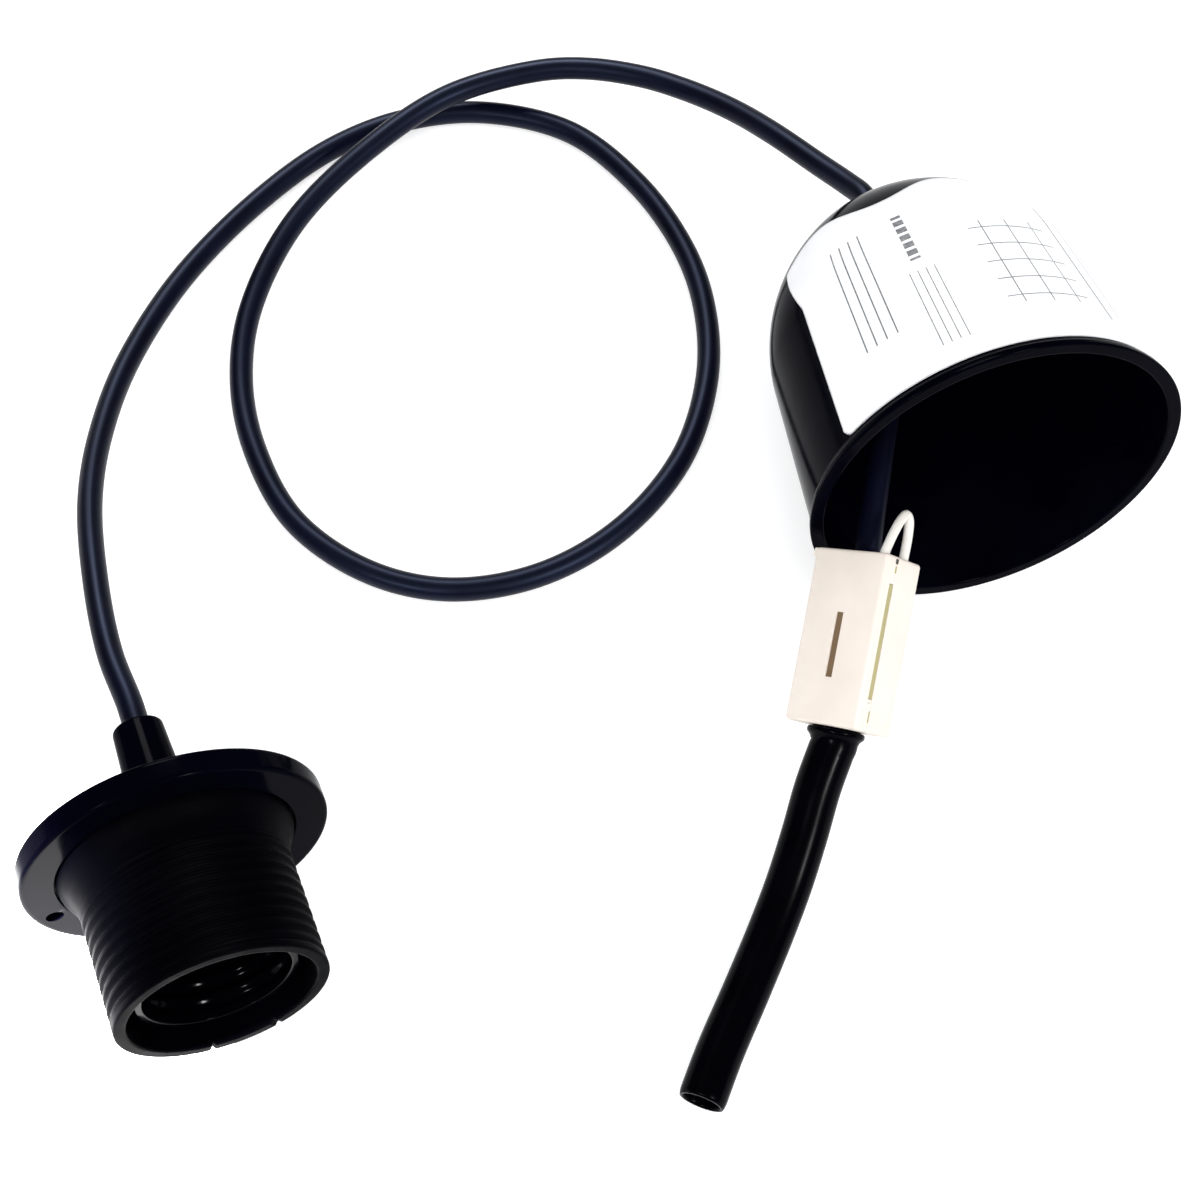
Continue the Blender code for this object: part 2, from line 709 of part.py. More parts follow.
def build_box_cover(frame, surfaces):
    """Front shell. Its hinge line is the outer left edge of the seam, where its own frame stands."""
    hinge = add_frame("cover_hinge", frame, (-HALF_WIDTH, 0.0, SEAM))
    bottom = SEAT_GAP / 2
    cover = box(
        "connector_cover",
        (0.0, -HALF_LENGTH, bottom), (BOX_WIDTH, HALF_LENGTH, COVER_DEPTH),
        hinge, surfaces["ivory"], BOX_CORNER, flat_z=bottom,
    )
    cut(cover, box(
        "cover_cavity",
        (BOX_WALL, -HALF_LENGTH + BOX_WALL, bottom - CUT_MARGIN),
        (BOX_WIDTH - BOX_WALL, HALF_LENGTH - BOX_WALL, COVER_DEPTH - BOX_WALL),
        hinge, None,
    ))
    cut(cover, box(
        "front_slot",
        (HALF_WIDTH - SLOT_WIDTH / 2, SLOT_Y - SLOT_LENGTH / 2, COVER_DEPTH - BOX_WALL - CUT_MARGIN / 2),
        (HALF_WIDTH + SLOT_WIDTH / 2, SLOT_Y + SLOT_LENGTH / 2, COVER_DEPTH + CUT_MARGIN),
        hinge, None,
    ))
    cut(cover, box(
        "seam_gap",
        (BOX_WIDTH - BOX_WALL - CUT_MARGIN / 4, -SEAM_LENGTH / 2, bottom - CUT_MARGIN),
        (BOX_WIDTH + CUT_MARGIN, SEAM_LENGTH / 2, bottom + SEAM_HEIGHT),
        hinge, None,
    ))
    strand_top = LOOP_MIDDLE_Z + LOOP_SPREAD / 2 + LOOP_STRAND / 2 + SEAT_GAP
    cut(cover, loop_slot("cover_loop_slot", frame, SEAM - CUT_MARGIN, strand_top))
    cut(cover, sleeve_hole("cover_sleeve_hole", frame))
    for number, y in enumerate(LATCH_Y, start=1):
        outer_x = BOX_WIDTH - BOX_WALL - SEAT_GAP
        join(cover, box(
            f"latch_{number}",
            (outer_x - LATCH_THICKNESS, y - LATCH_WIDTH / 2, bottom - LATCH_REACH),
            (outer_x, y + LATCH_WIDTH / 2, COVER_DEPTH - BOX_WALL / 2),
            hinge, None,
        ))
    return cover


def build_terminals(frame, surfaces):
    """Insulating block with a pocket for each brass terminal, two screws in each, and a barrier between them."""
    pocket_x = TERMINAL_WIDTH / 2 + SEAT_GAP
    pocket_y = TERMINAL_LENGTH / 2 + SEAT_GAP
    half_x = TERMINAL_SPACING / 2 + pocket_x + BLOCK_WALL
    low, pocket_floor = FLOOR + SEAT_GAP, FLOOR + SEAT_GAP + BLOCK_WALL
    terminal_low = pocket_floor + SEAT_GAP
    terminal_top = terminal_low + TERMINAL_HEIGHT
    block = box(
        "terminal_block",
        (-half_x, BLOCK_Y - BLOCK_LENGTH / 2, low), (half_x, BLOCK_Y + BLOCK_LENGTH / 2, terminal_top),
        frame, surfaces["phenolic"],
    )
    wire_z = terminal_low + WIRE_HEIGHT
    wire_bore = CORE_DIAMETER / 2 + CORE_CLEARANCE
    screw_length = terminal_top - wire_z - CORE_DIAMETER / 2
    for side, pole in ((-1, "live"), (1, "neutral")):
        x = side * TERMINAL_SPACING / 2
        cut(block, box(
            f"{pole}_pocket",
            (x - pocket_x, BLOCK_Y - pocket_y, pocket_floor),
            (x + pocket_x, BLOCK_Y + pocket_y, terminal_top + CUT_MARGIN),
            frame, None,
        ))
        cut(block, rod(
            f"{pole}_block_bore", wire_bore + SEAT_GAP,
            (x, BLOCK_Y - BLOCK_LENGTH, wire_z), (x, BLOCK_Y + BLOCK_LENGTH, wire_z), frame, None, sides=16,
        ))
        brass = box(
            f"terminal_{pole}",
            (x - TERMINAL_WIDTH / 2, BLOCK_Y - TERMINAL_LENGTH / 2, terminal_low),
            (x + TERMINAL_WIDTH / 2, BLOCK_Y + TERMINAL_LENGTH / 2, terminal_top),
            frame, surfaces["brass"],
        )
        cut(brass, rod(
            f"{pole}_bore", wire_bore,
            (x, BLOCK_Y - TERMINAL_LENGTH, wire_z), (x, BLOCK_Y + TERMINAL_LENGTH, wire_z),
            frame, None, sides=16,
        ))
        for end, use in ((1, "cord"), (-1, "mains")):
            y = BLOCK_Y + end * SCREW_SPACING / 2
            cut(brass, rod(
                f"{pole}_{use}_thread", SCREW_DIAMETER / 2 + SEAT_GAP / 2,
                (x, y, wire_z), (x, y, terminal_top + CUT_MARGIN), frame, None, sides=12,
            ))
            slotted_screw(
                f"terminal_screw_{pole}_{use}", frame, surfaces["steel"],
                (x, y, terminal_top + SEAT_GAP), screw_length, turn=SCREW_TURN * (side + 2 * end),
            )
    join(block, box(
        "terminal_barrier",
        (-BARRIER_WIDTH / 2, BLOCK_Y - BLOCK_LENGTH / 2 + BLOCK_WALL, terminal_top - BLOCK_WALL),
        (BARRIER_WIDTH / 2, BLOCK_Y + BLOCK_LENGTH / 2 - BLOCK_WALL, FRONT - BOX_WALL - SEAT_GAP),
        frame, None,
    ))
    return wire_z


def build_clamp(frame, surfaces):
    low = CLAMP_SEAT + SEAT_GAP
    reach = BOSS_SPREAD + CLAMP_END
    bar = box(
        "cord_clamp",
        (CORD_ENTRY_X - reach, CLAMP_Y - CLAMP_DEPTH / 2, low),
        (CORD_ENTRY_X + reach, CLAMP_Y + CLAMP_DEPTH / 2, low + CLAMP_THICKNESS),
        frame, surfaces["ivory"],
    )
    cut(bar, rod(
        "clamp_arch", CORD_RADIUS + SEAT_GAP,
        (CORD_ENTRY_X, CLAMP_Y - CLAMP_DEPTH, CORD_ENTRY_Z), (CORD_ENTRY_X, CLAMP_Y + CLAMP_DEPTH, CORD_ENTRY_Z),
        frame, None, sides=24,
    ))
    for side, label in ((-1, "left"), (1, "right")):
        x = CORD_ENTRY_X + side * BOSS_SPREAD
        cut(bar, rod(
            f"clamp_hole_{label}", SCREW_DIAMETER / 2 + SEAT_GAP / 2,
            (x, CLAMP_Y, low - CUT_MARGIN), (x, CLAMP_Y, low + CLAMP_THICKNESS + CUT_MARGIN),
            frame, None, sides=14,
        ))
        slotted_screw(
            f"cord_clamp_screw_{label}", frame, surfaces["steel"],
            (x, CLAMP_Y, low + CLAMP_THICKNESS + SEAT_GAP), CLAMP_SCREW_LENGTH, turn=SCREW_TURN * side,
        )


def build_loop(frame, surfaces):
    """Ring round the peg: two strands through the end wall and a hairpin whose tip leans to the back."""
    half = LOOP_SPREAD / 2
    inner_y = HALF_LENGTH - PEG_FROM_END - PEG_DIAMETER / 2 - SEAT_GAP - LOOP_STRAND / 2
    peg_side = [
        (inner_y + half * (1 - math.cos(a)), half * math.sin(a))
        for a in np.linspace(-math.pi / 2, math.pi / 2, 7)
    ]
    hairpin = [
        (
            HALF_LENGTH + SEAT_GAP + LOOP_REACH * math.sin(math.pi * t ** LOOP_SKEW),
            half * math.cos(math.pi * t) - LOOP_LEAN * math.sin(math.pi * t),
        )
        for t in np.linspace(0.15, 0.85, 6)
    ]
    ring = peg_side + [(HALF_LENGTH - BOX_WALL, half), (HALF_LENGTH + SEAT_GAP, half)]
    ring += hairpin + [(HALF_LENGTH + SEAT_GAP, -half), (HALF_LENGTH - BOX_WALL, -half)]
    path = smooth_path([(LOOP_X, y, LOOP_MIDDLE_Z + z) for y, z in ring], 0.75 * LOOP_STRAND, closed=True)
    tube("hanging_loop", path, LOOP_STRAND, frame, surfaces["nylon"], closed=True)


def build_connector(layout, surfaces):
    frame = add_frame(
        "connector_frame", layout, BOX_PLACE, (BOX_SLOPE, -BOX_ROLL, -BOX_HEADING), order="YXZ"
    )
    build_box_base(frame, surfaces)
    build_box_cover(frame, surfaces)
    wire_z = build_terminals(frame, surfaces)
    build_clamp(frame, surfaces)
    build_loop(frame, surfaces)
    build_cores(
        "connector", frame, surfaces, (0.0, -1.0, 0.0),
        start=lambda side: (CORD_ENTRY_X + side * CORE_SPREAD, CORD_END_IN_BOX - SEAT_GAP, CORD_ENTRY_Z),
        bend=lambda side: (side * TERMINAL_SPACING / 2, BLOCK_Y + BLOCK_LENGTH / 2 + CORE_DIAMETER, wire_z),
        end=lambda side: (side * TERMINAL_SPACING / 2, BLOCK_Y + SCREW_SPACING / 4, wire_z),
    )
    return frame


def build_cores(where, frame, surfaces, ahead, start, bend, end):
    """The two insulated cores, which leave the sheath straight ahead and spread to their terminals."""
    for side, pole, colour in ((-1, "live", "brown_core"), (1, "neutral", "blue_core")):
        first, turn, last = (np.array(f(side)) for f in (start, bend, end))
        leave = first + 0.5 * CORE_DIAMETER * np.array(ahead)
        straight = turn + (last - turn) * 0.3
        path = smooth_path([first, leave, turn, straight, last], 0.8 * CORE_DIAMETER)
        tube(f"core_{pole}_{where}", path, CORE_DIAMETER, frame, surfaces[colour], resolution=1)


# Lampholder

def dome_points(foot, tip, low, height, count=8):
    """Quarter of an ellipse from a wide foot to a narrow tip, going down."""
    angles = np.linspace(0.0, math.pi / 2, count)
    return [(tip + (foot - tip) * math.cos(a), low - height * math.sin(a)) for a in angles]


def build_cap(frame, surfaces):
    rim = FLANGE_DIAMETER / 2
    recess = NECK_DIAMETER / 2 + SEAT_GAP
    dome_low = -FLANGE_RIM
    collar_low = dome_low - DOME_HEIGHT - COLLAR_LENGTH
    cavity = CAP_CAVITY_DIAMETER / 2
    bore = CORD_RADIUS + CORD_CLEARANCE
    grip_bore = COLLAR_BORE / 2
    outer = [
        (recess, 0.0),
        (rim - FLANGE_EDGE, 0.0),
        (rim, -FLANGE_EDGE),
        (rim, dome_low + FLANGE_EDGE),
        (rim - FLANGE_EDGE, dome_low),
    ]
    outer += dome_points(DOME_FOOT_DIAMETER / 2, COLLAR_BASE_DIAMETER / 2, dome_low, DOME_HEIGHT)
    outer += [
        (COLLAR_TIP_DIAMETER / 2, collar_low + FLANGE_EDGE),
        (COLLAR_TIP_DIAMETER / 2 - FLANGE_EDGE, collar_low),
    ]
    inner = [(bore, collar_low), (bore, collar_low + COLLAR_LIP), (grip_bore, collar_low + COLLAR_LIP)]
    inner += dome_points(cavity, grip_bore, dome_low, DOME_HEIGHT - DOME_WALL)[::-1]
    inner += [(cavity, -RECESS_DEPTH), (recess, -RECESS_DEPTH)]
    cap = turned("holder_cap", outer + inner, frame, surfaces["gloss_black"], steps=56)
    x = FLANGE_HOLE_RADIUS * math.cos(FLANGE_HOLE_ANGLE)
    y = FLANGE_HOLE_RADIUS * math.sin(FLANGE_HOLE_ANGLE)
    cut(cap, rod(
        "flange_hole", FLANGE_HOLE_DIAMETER / 2,
        (x, y, -FLANGE_RIM - CUT_MARGIN), (x, y, CUT_MARGIN), frame, None, sides=16,
    ))
    grip = turned(
        "cord_grip",
        [
            (grip_bore - SEAT_GAP, collar_low + COLLAR_LIP + SEAT_GAP + GRIP_LENGTH),
            (grip_bore - SEAT_GAP, collar_low + COLLAR_LIP + SEAT_GAP),
            (CORD_RADIUS + SEAT_GAP, collar_low + COLLAR_LIP + SEAT_GAP),
            (CORD_RADIUS + SEAT_GAP, collar_low + COLLAR_LIP + SEAT_GAP + GRIP_LENGTH),
        ],
        frame, surfaces["nylon"], steps=24,
    )
    cut(grip, box(
        "grip_slit",
        (0.0, -SCREW_SLOT, collar_low), (COLLAR_BORE, SCREW_SLOT, collar_low + COLLAR_LENGTH),
        frame, None,
    ))
    return collar_low


def build_barrel(frame, surfaces):
    outside = BARREL_DIAMETER / 2
    inside = outside - BARREL_WALL
    neck = NECK_DIAMETER / 2
    foot = -RECESS_DEPTH + SEAT_GAP
    insert_foot = INSERT_FLOOR - INSERT_THICKNESS
    profile = [
        (inside, BARREL_LENGTH),
        (outside - BARREL_EDGE, BARREL_LENGTH),
        (outside, BARREL_LENGTH - BARREL_EDGE),
        (outside, NECK_LENGTH),
        (NECK_BEND_DIAMETER / 2, NECK_BEND_HEIGHT),
        (neck, BARREL_EDGE),
        (neck, foot),
        (inside - INSERT_LEDGE, foot),
        (inside - INSERT_LEDGE, insert_foot - SEAT_GAP),
        (inside, insert_foot - SEAT_GAP),
    ]
    turned("holder_barrel", profile, frame, surfaces["satin_black"], steps=56)
    insert = inside - SEAT_GAP
    socket = SOCKET_DIAMETER / 2
    sleeve = socket + SOCKET_WALL
    turned(
        "socket_insert",
        [
            (0.0, INSERT_FLOOR),
            (socket, INSERT_FLOOR),
            (socket, SOCKET_END),
            (sleeve, SOCKET_END),
            (sleeve, INSERT_FLOOR + BARREL_EDGE),
            (insert, INSERT_FLOOR),
            (insert, insert_foot),
            (0.0, insert_foot),
        ],
        frame, surfaces["satin_black"], steps=40, closed=False,
    )
    return insert_foot


def build_contacts(frame, surfaces):
    """Centre and side leaf contacts on the insert's floor, each in a frame on its bending line."""
    middle = CONTACT_THICKNESS / 2
    foot, pad, reach = CONTACT_FOOT, CENTRE_CONTACT_PAD, CENTRE_CONTACT_REACH
    floor = INSERT_FLOOR + SEAT_GAP
    centre = add_frame("centre_contact_axis", frame, (-reach, 0.0, floor))
    strip(
        "centre_contact",
        [
            (-foot, middle),
            (foot, middle),
            (reach - pad / 2, CENTRE_CONTACT_RISE),
            (reach + pad / 2, CENTRE_CONTACT_RISE),
            (reach + pad * 3 / 2, CENTRE_CONTACT_RISE - CENTRE_CONTACT_DROOP),
        ],
        CONTACT_THICKNESS, CONTACT_WIDTH, centre, surfaces["brass"],
    )
    side = add_frame("side_contact_axis", frame, (SOCKET_DIAMETER / 2 - SIDE_CONTACT_GAP, 0.0, floor))
    strip(
        "side_contact",
        [
            (-SIDE_CONTACT_FOOT, middle),
            (-foot, middle),
            (0.0, middle + foot),
            (0.0, SIDE_CONTACT_HEIGHT - SIDE_CONTACT_TIP),
            (-SIDE_CONTACT_LEAN, SIDE_CONTACT_HEIGHT),
        ],
        CONTACT_THICKNESS, CONTACT_WIDTH, side, surfaces["brass"],
    )


def build_posts(frame, surfaces, insert_foot):
    """Two brass posts behind the insert that take the cores, each with a screw from above."""
    top = insert_foot - SEAT_GAP
    low = top - POST_HEIGHT
    bore = CORE_DIAMETER / 2 + CORE_CLEARANCE
    for side, pole in ((-1, "live"), (1, "neutral")):
        x = side * POST_X
        post = box(
            f"holder_terminal_{pole}",
            (x - POST_WIDTH / 2, -POST_DEPTH / 2, low), (x + POST_WIDTH / 2, POST_DEPTH / 2, top),
            frame, surfaces["brass"],
        )
        cut(post, rod(
            f"post_bore_{pole}", bore,
            (x, 0.0, low - CUT_MARGIN), (x, 0.0, low + POST_BORE_DEPTH), frame, None, sides=14,
        ))
        screw_z = low + POST_SCREW_HEIGHT
        cut(post, rod(
            f"post_thread_{pole}", SCREW_DIAMETER / 2 + SEAT_GAP / 2,
            (x, 0.0, screw_z), (x, POST_DEPTH, screw_z), frame, None, sides=12,
        ))
        slotted_screw(
            f"holder_terminal_screw_{pole}", frame, surfaces["steel"],
            (x, POST_DEPTH / 2 + SEAT_GAP, screw_z), POST_DEPTH / 2 - CORE_DIAMETER / 2,
            turn=SCREW_TURN * side, rotation=(-math.pi / 2, 0.0, 0.0),
        )
    return low


def build_holder(layout, surfaces):
    rim = FLANGE_DIAMETER / 2
    height = rim * math.cos(HOLDER_TILT) + (FLANGE_RIM - FLANGE_EDGE) * math.sin(HOLDER_TILT)
    frame = add_frame(
        "holder_frame", layout, (*HOLDER_PLACE, height), (math.pi / 2 - HOLDER_TILT, 0.0, HOLDER_HEADING)
    )
    collar_low = build_cap(frame, surfaces)
    insert_foot = build_barrel(frame, surfaces)
    build_contacts(frame, surfaces)
    post_low = build_posts(frame, surfaces, insert_foot)
    build_cores(
        "holder", frame, surfaces, (0.0, 0.0, 1.0),
        start=lambda side: (side * CORE_SPREAD, 0.0, -CORD_END_IN_CAP + SEAT_GAP),
        bend=lambda side: (side * POST_X, 0.0, post_low - CORE_DIAMETER),
        end=lambda side: (side * POST_X, 0.0, post_low + POST_WIRE_DEPTH),
    )
    return frame, collar_low


# Cord and sleeve

def place_in(frame, point):
    """A point of a frame in the layout's coordinates."""
    return tuple(frame.matrix_local @ Vector(point))


def build_cord(layout, surfaces, cup, connector, holder, collar_low):
    """One cord: from the clamp, through the cup's bush, round its loop on the table, into the collar."""
    path = [
        place_in(connector, (CORD_ENTRY_X, CORD_END_IN_BOX, CORD_ENTRY_Z)),
        place_in(connector, (CORD_ENTRY_X, HALF_LENGTH, CORD_ENTRY_Z)),
    ]
    path += CORD_ROUTE
    shifts = (-CORD_STRAIGHT, BUSH_TRAVEL / 2, BUSH_TRAVEL + CORD_BEND_MARGIN)
    straight = [place_in(cup, (0.0, 0.0, CUP_HEIGHT + shift)) for shift in shifts]
    path += straight
    path += CORD_LOOP
    path += [place_in(holder, (0.0, 0.0, collar_low + shift)) for shift in (-CORD_STRAIGHT, 0.0, CORD_STRAIGHT)]
    path += [place_in(holder, (0.0, 0.0, -CORD_END_IN_CAP))]
    fine = smooth_path(path, CORD_STEP / FINE_STEPS)
    stops = [int(np.argmin(np.linalg.norm(fine - np.array(point), axis=1))) for point in (straight[0], straight[-1])]
    stops = [0] + stops + [len(fine) - 1]
    counts = [max(1, round((b - a) / FINE_STEPS)) for a, b in zip(stops, stops[1:])]
    picks = [np.linspace(a, b, n, endpoint=False) for a, b, n in zip(stops, stops[1:], counts)]
    route = np.vstack([fine[np.concatenate(picks).astype(int)], fine[-1:]])
    tube("pendant_cord", route, CORD_DIAMETER, layout, surfaces["cord_black"])
    length = np.linalg.norm(np.diff(route, axis=0), axis=1).sum()
    print(f"cord length {length:.4f} m over {len(route)} points, lowest centre {route[:, 2].min():.4f}")


def build_sleeve(layout, surfaces, connector):
    """Soft tube with a flared end that lies against the box, and a cut end on the table."""
    end = -HALF_LENGTH
    wall = place_in(connector, (0.0, end - SEAT_GAP, 0.0))
    flare = place_in(connector, (0.0, end - SEAT_GAP - SLEEVE_FLARE_LENGTH, 0.0))
    straight = place_in(connector, (0.0, end - SLEEVE_STRAIGHT, 0.0))
    rest = smooth_path([flare, straight] + SLEEVE_ROUTE, 0.65 * SLEEVE_DIAMETER)
    path = [
        place_in(connector, (0.0, end + SLEEVE_INSERTION, 0.0)),
        place_in(connector, (0.0, end - SEAT_GAP / 2, 0.0)),
        wall,
        flare,
        place_in(connector, (0.0, end - SEAT_GAP - 1.5 * SLEEVE_FLARE_LENGTH, 0.0)),
    ]
    path += [tuple(p) for p in rest[1:]]
    outer = [SLEEVE_DIAMETER] * len(path)
    outer[2] = SLEEVE_FLARE_DIAMETER
    outer[3] = SLEEVE_FLARE_DIAMETER
    hollow_tube("insulating_sleeve", path, outer, SLEEVE_BORE, layout, surfaces["gloss_black"])
    length = sum((Vector(b) - Vector(a)).length for a, b in zip(path, path[1:]))
    print(f"sleeve length {length:.4f} m")


CORD_PIECES = {"pendant_cord", "insulating_sleeve"}


def centre_on_table(layout):
    """Moves the layout so that the rigid pieces' box stands on Z = 0 with its middle over the origin."""
    bpy.context.view_layer.update()
    graph = bpy.context.evaluated_depsgraph_get()
    corners = []
    for obj in bpy.context.scene.objects:
        if obj.type == "EMPTY" or obj.hide_render or obj.name in CORD_PIECES:
            continue
        shape = obj.evaluated_get(graph)
        mesh = shape.to_mesh()
        corners += [tuple(obj.matrix_world @ v.co) for v in mesh.vertices]
        shape.to_mesh_clear()
    corners = np.array(corners)
    low, high = corners.min(axis=0), corners.max(axis=0)
    layout.location = (-(low[0] + high[0]) / 2, -(low[1] + high[1]) / 2, -low[2])
    bpy.context.view_layer.update()
    print("rigid pieces", (high - low).round(4), "layout moved by", [round(v, 5) for v in layout.location])


def main():
    for obj in list(bpy.data.objects):
        bpy.data.objects.remove(obj, do_unlink=True)
    surfaces = make_materials()
    layout = add_frame("layout", None, (0.0, 0.0, 0.0))
    cup = build_cup(layout, surfaces)
    connector = build_connector(layout, surfaces)
    holder, collar_low = build_holder(layout, surfaces)
    bpy.context.view_layer.update()
    build_cord(layout, surfaces, cup, connector, holder, collar_low)
    build_sleeve(layout, surfaces, connector)
    centre_on_table(layout)


main()
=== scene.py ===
# %% [markdown]
# A pendant-lamp cord set on a studio table: a glossy black ceiling cup, a looped cord, a threaded
# lampholder and a small ivory terminal box with a hanging loop and an insulating sleeve. The solids come
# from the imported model, which stays fixed. Each cell adds one finer piece or one finish on top of it.

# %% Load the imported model
import json
import math

import bmesh
import bpy
import numpy as np
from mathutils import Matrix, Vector

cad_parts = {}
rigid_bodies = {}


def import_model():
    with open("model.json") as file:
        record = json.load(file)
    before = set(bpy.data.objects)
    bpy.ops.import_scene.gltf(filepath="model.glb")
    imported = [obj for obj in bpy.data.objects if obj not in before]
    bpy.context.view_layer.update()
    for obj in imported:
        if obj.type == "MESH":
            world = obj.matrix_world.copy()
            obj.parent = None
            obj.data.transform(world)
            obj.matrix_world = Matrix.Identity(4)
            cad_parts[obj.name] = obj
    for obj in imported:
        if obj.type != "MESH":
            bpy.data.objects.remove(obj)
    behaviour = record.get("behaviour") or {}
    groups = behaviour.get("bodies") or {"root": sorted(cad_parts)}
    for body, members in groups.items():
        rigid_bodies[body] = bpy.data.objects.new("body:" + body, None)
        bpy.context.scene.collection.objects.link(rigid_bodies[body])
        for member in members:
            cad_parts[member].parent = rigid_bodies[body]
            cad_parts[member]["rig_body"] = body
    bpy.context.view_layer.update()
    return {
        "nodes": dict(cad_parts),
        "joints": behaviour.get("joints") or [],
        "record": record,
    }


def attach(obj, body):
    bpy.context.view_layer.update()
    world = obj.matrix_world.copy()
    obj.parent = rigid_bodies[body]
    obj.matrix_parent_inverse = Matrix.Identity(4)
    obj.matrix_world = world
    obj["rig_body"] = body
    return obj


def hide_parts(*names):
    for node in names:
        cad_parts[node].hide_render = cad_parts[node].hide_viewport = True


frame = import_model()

joints = {joint["name"]: joint for joint in frame["joints"]}
mounts = {mount["name"]: mount for mount in frame["record"]["mounts"]}

# %% [markdown]
# Three things lie on the table, each at its own slant: the cup, the terminal box and the lampholder. A
# piece is easiest to draw upright in its own axes and to lay down at the end, so this cell works out one
# 4x4 matrix for each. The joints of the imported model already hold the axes, so nothing has to be fitted by
# eye.

# %% Frames of the cup, the terminal box and the lampholder
CUP_HEIGHT = 0.0710
BOX_WIDTH = 0.0170
BOX_LENGTH = 0.0345
BOX_THICKNESS = 0.0120
COVER_DEPTH = 0.00355
SEAM = BOX_THICKNESS / 2 - COVER_DEPTH
CONTACT_REACH = 0.0085
INSERT_FLOOR = 0.0050
SEAT_GAP = 0.0003
CONTACT_FLOOR = INSERT_FLOOR + SEAT_GAP


def unit(vector):
    """The vector at a length of one."""
    vector = np.asarray(vector, float)
    return vector / np.linalg.norm(vector)


def frame_of(x, y, z, origin):
    """Matrix whose columns are the three axes and the origin."""
    made = np.eye(4)
    made[:3] = np.column_stack([x, y, z, origin])
    return made


def placed(matrix, points):
    """Points of a frame in the shared frame: turn, then shift."""
    return np.asarray(points, float) @ matrix[:3, :3].T + matrix[:3, 3]


cup_z = unit(joints["cup_turn"]["axis"])
cup_x = np.array([1.0, 0.0, 0.0])
cup_frame = frame_of(cup_x, np.cross(cup_z, cup_x), cup_z, joints["cup_turn"]["pos_m"] - CUP_HEIGHT * cup_z)

box_y = -unit(joints["cover_hinge"]["axis"])
box_z = unit(joints["terminal_screw_live_cord_turn"]["axis"])
box_x = np.cross(box_y, box_z)
box_frame = frame_of(
    box_x, box_y, box_z, joints["cover_hinge"]["pos_m"] + BOX_WIDTH / 2 * box_x - SEAM * box_z
)

holder_z = unit(mounts["shade_seat"]["axis"])
holder_y = unit(joints["centre_contact_spring"]["axis"])
holder_x = np.cross(holder_y, holder_z)
holder_frame = frame_of(
    holder_x, holder_y, holder_z,
    joints["centre_contact_spring"]["pos_m"] + CONTACT_REACH * holder_x - CONTACT_FLOOR * holder_z,
)
print("cup mouth at", cup_frame[:3, 3].round(4), "box at", box_frame[:3, 3].round(4),
      "flange at", holder_frame[:3, 3].round(4))

# %% [markdown]
# The picture was taken from above, at 63 degrees over the table and a little from the left. A long lens gives
# the same mild perspective. The camera comes first, because the cord's room is measured against its view. The
# camera's place and the cord's route were noted on the layout before it was centred, and the box says how far
# centring moved it.

# %% Camera
BOX_ON_LAYOUT = np.array([0.0416, -0.0357, 0.0282])
LAYOUT_SHIFT = box_frame[:3, 3] - BOX_ON_LAYOUT
CAMERA_AIM = Vector(LAYOUT_SHIFT)
CAMERA_REACH = Vector((-0.0521, -0.1936, 0.3912))
CAMERA_PLACE = CAMERA_AIM + CAMERA_REACH
FOCAL_PIXELS = 2065.25
FRAME_PIXELS = 1200.0
SENSOR_MM = 36.0
NEAREST = 0.01
FARTHEST = 20.0

lens = bpy.data.cameras.new("studio_camera")
lens.sensor_width = SENSOR_MM
lens.lens = FOCAL_PIXELS / FRAME_PIXELS * SENSOR_MM
lens.clip_start = NEAREST
lens.clip_end = FARTHEST
camera = bpy.data.objects.new("studio_camera", lens)
camera.location = CAMERA_PLACE
camera.rotation_euler = (CAMERA_AIM - CAMERA_PLACE).to_track_quat("-Z", "Y").to_euler()
bpy.context.scene.collection.objects.link(camera)
bpy.context.scene.camera = camera
print(f"camera lens {lens.lens:.1f} mm, layout shifted by", LAYOUT_SHIFT.round(5))

# %% [markdown]
# Every new piece here is a grid: two parameters run along its rows and columns, numpy works out all the
# points at once, and neighbouring points become faces. A ring closes its columns, a hollow body closes its
# rows too, and rows that shrink to a point make a pole, whose doubled points are merged afterwards.

# %% From a grid of points to a mesh
MERGE_DISTANCE = 2e-6


def surface(name, grid, close_rows=False, close_columns=False, along=1.0, across=1.0, uv=None):
    """Faces between neighbouring grid points. The UV map runs 0..along on rows and 0..across on columns, or
    is given for each point."""
    rows, columns = grid.shape[:2]
    number = np.arange(rows * columns).reshape(rows, columns)
    if close_rows:
        number = np.vstack([number, number[:1]])
    if close_columns:
        number = np.hstack([number, number[:, :1]])
    if uv is None:
        rows_uv = np.linspace(0.0, along, number.shape[0])
        columns_uv = np.linspace(0.0, across, number.shape[1])
        share = np.stack(np.meshgrid(rows_uv, columns_uv, indexing="ij"), axis=-1)
    else:
        share = uv.reshape(-1, 2)[number]
    corners = [(slice(None, -1), slice(None, -1)), (slice(1, None), slice(None, -1)),
               (slice(1, None), slice(1, None)), (slice(None, -1), slice(1, None))]
    quads = np.stack([number[c] for c in corners], axis=-1).reshape(-1, 4)
    corner_uv = np.stack([share[c] for c in corners], axis=2).reshape(-1, 2)
    mesh = bpy.data.meshes.new(name)
    mesh.from_pydata(grid.reshape(-1, 3).tolist(), [], quads.tolist())
    mesh.uv_layers.new(name="UVMap").uv.foreach_set("vector", corner_uv.astype(np.float32).ravel())
    return mesh


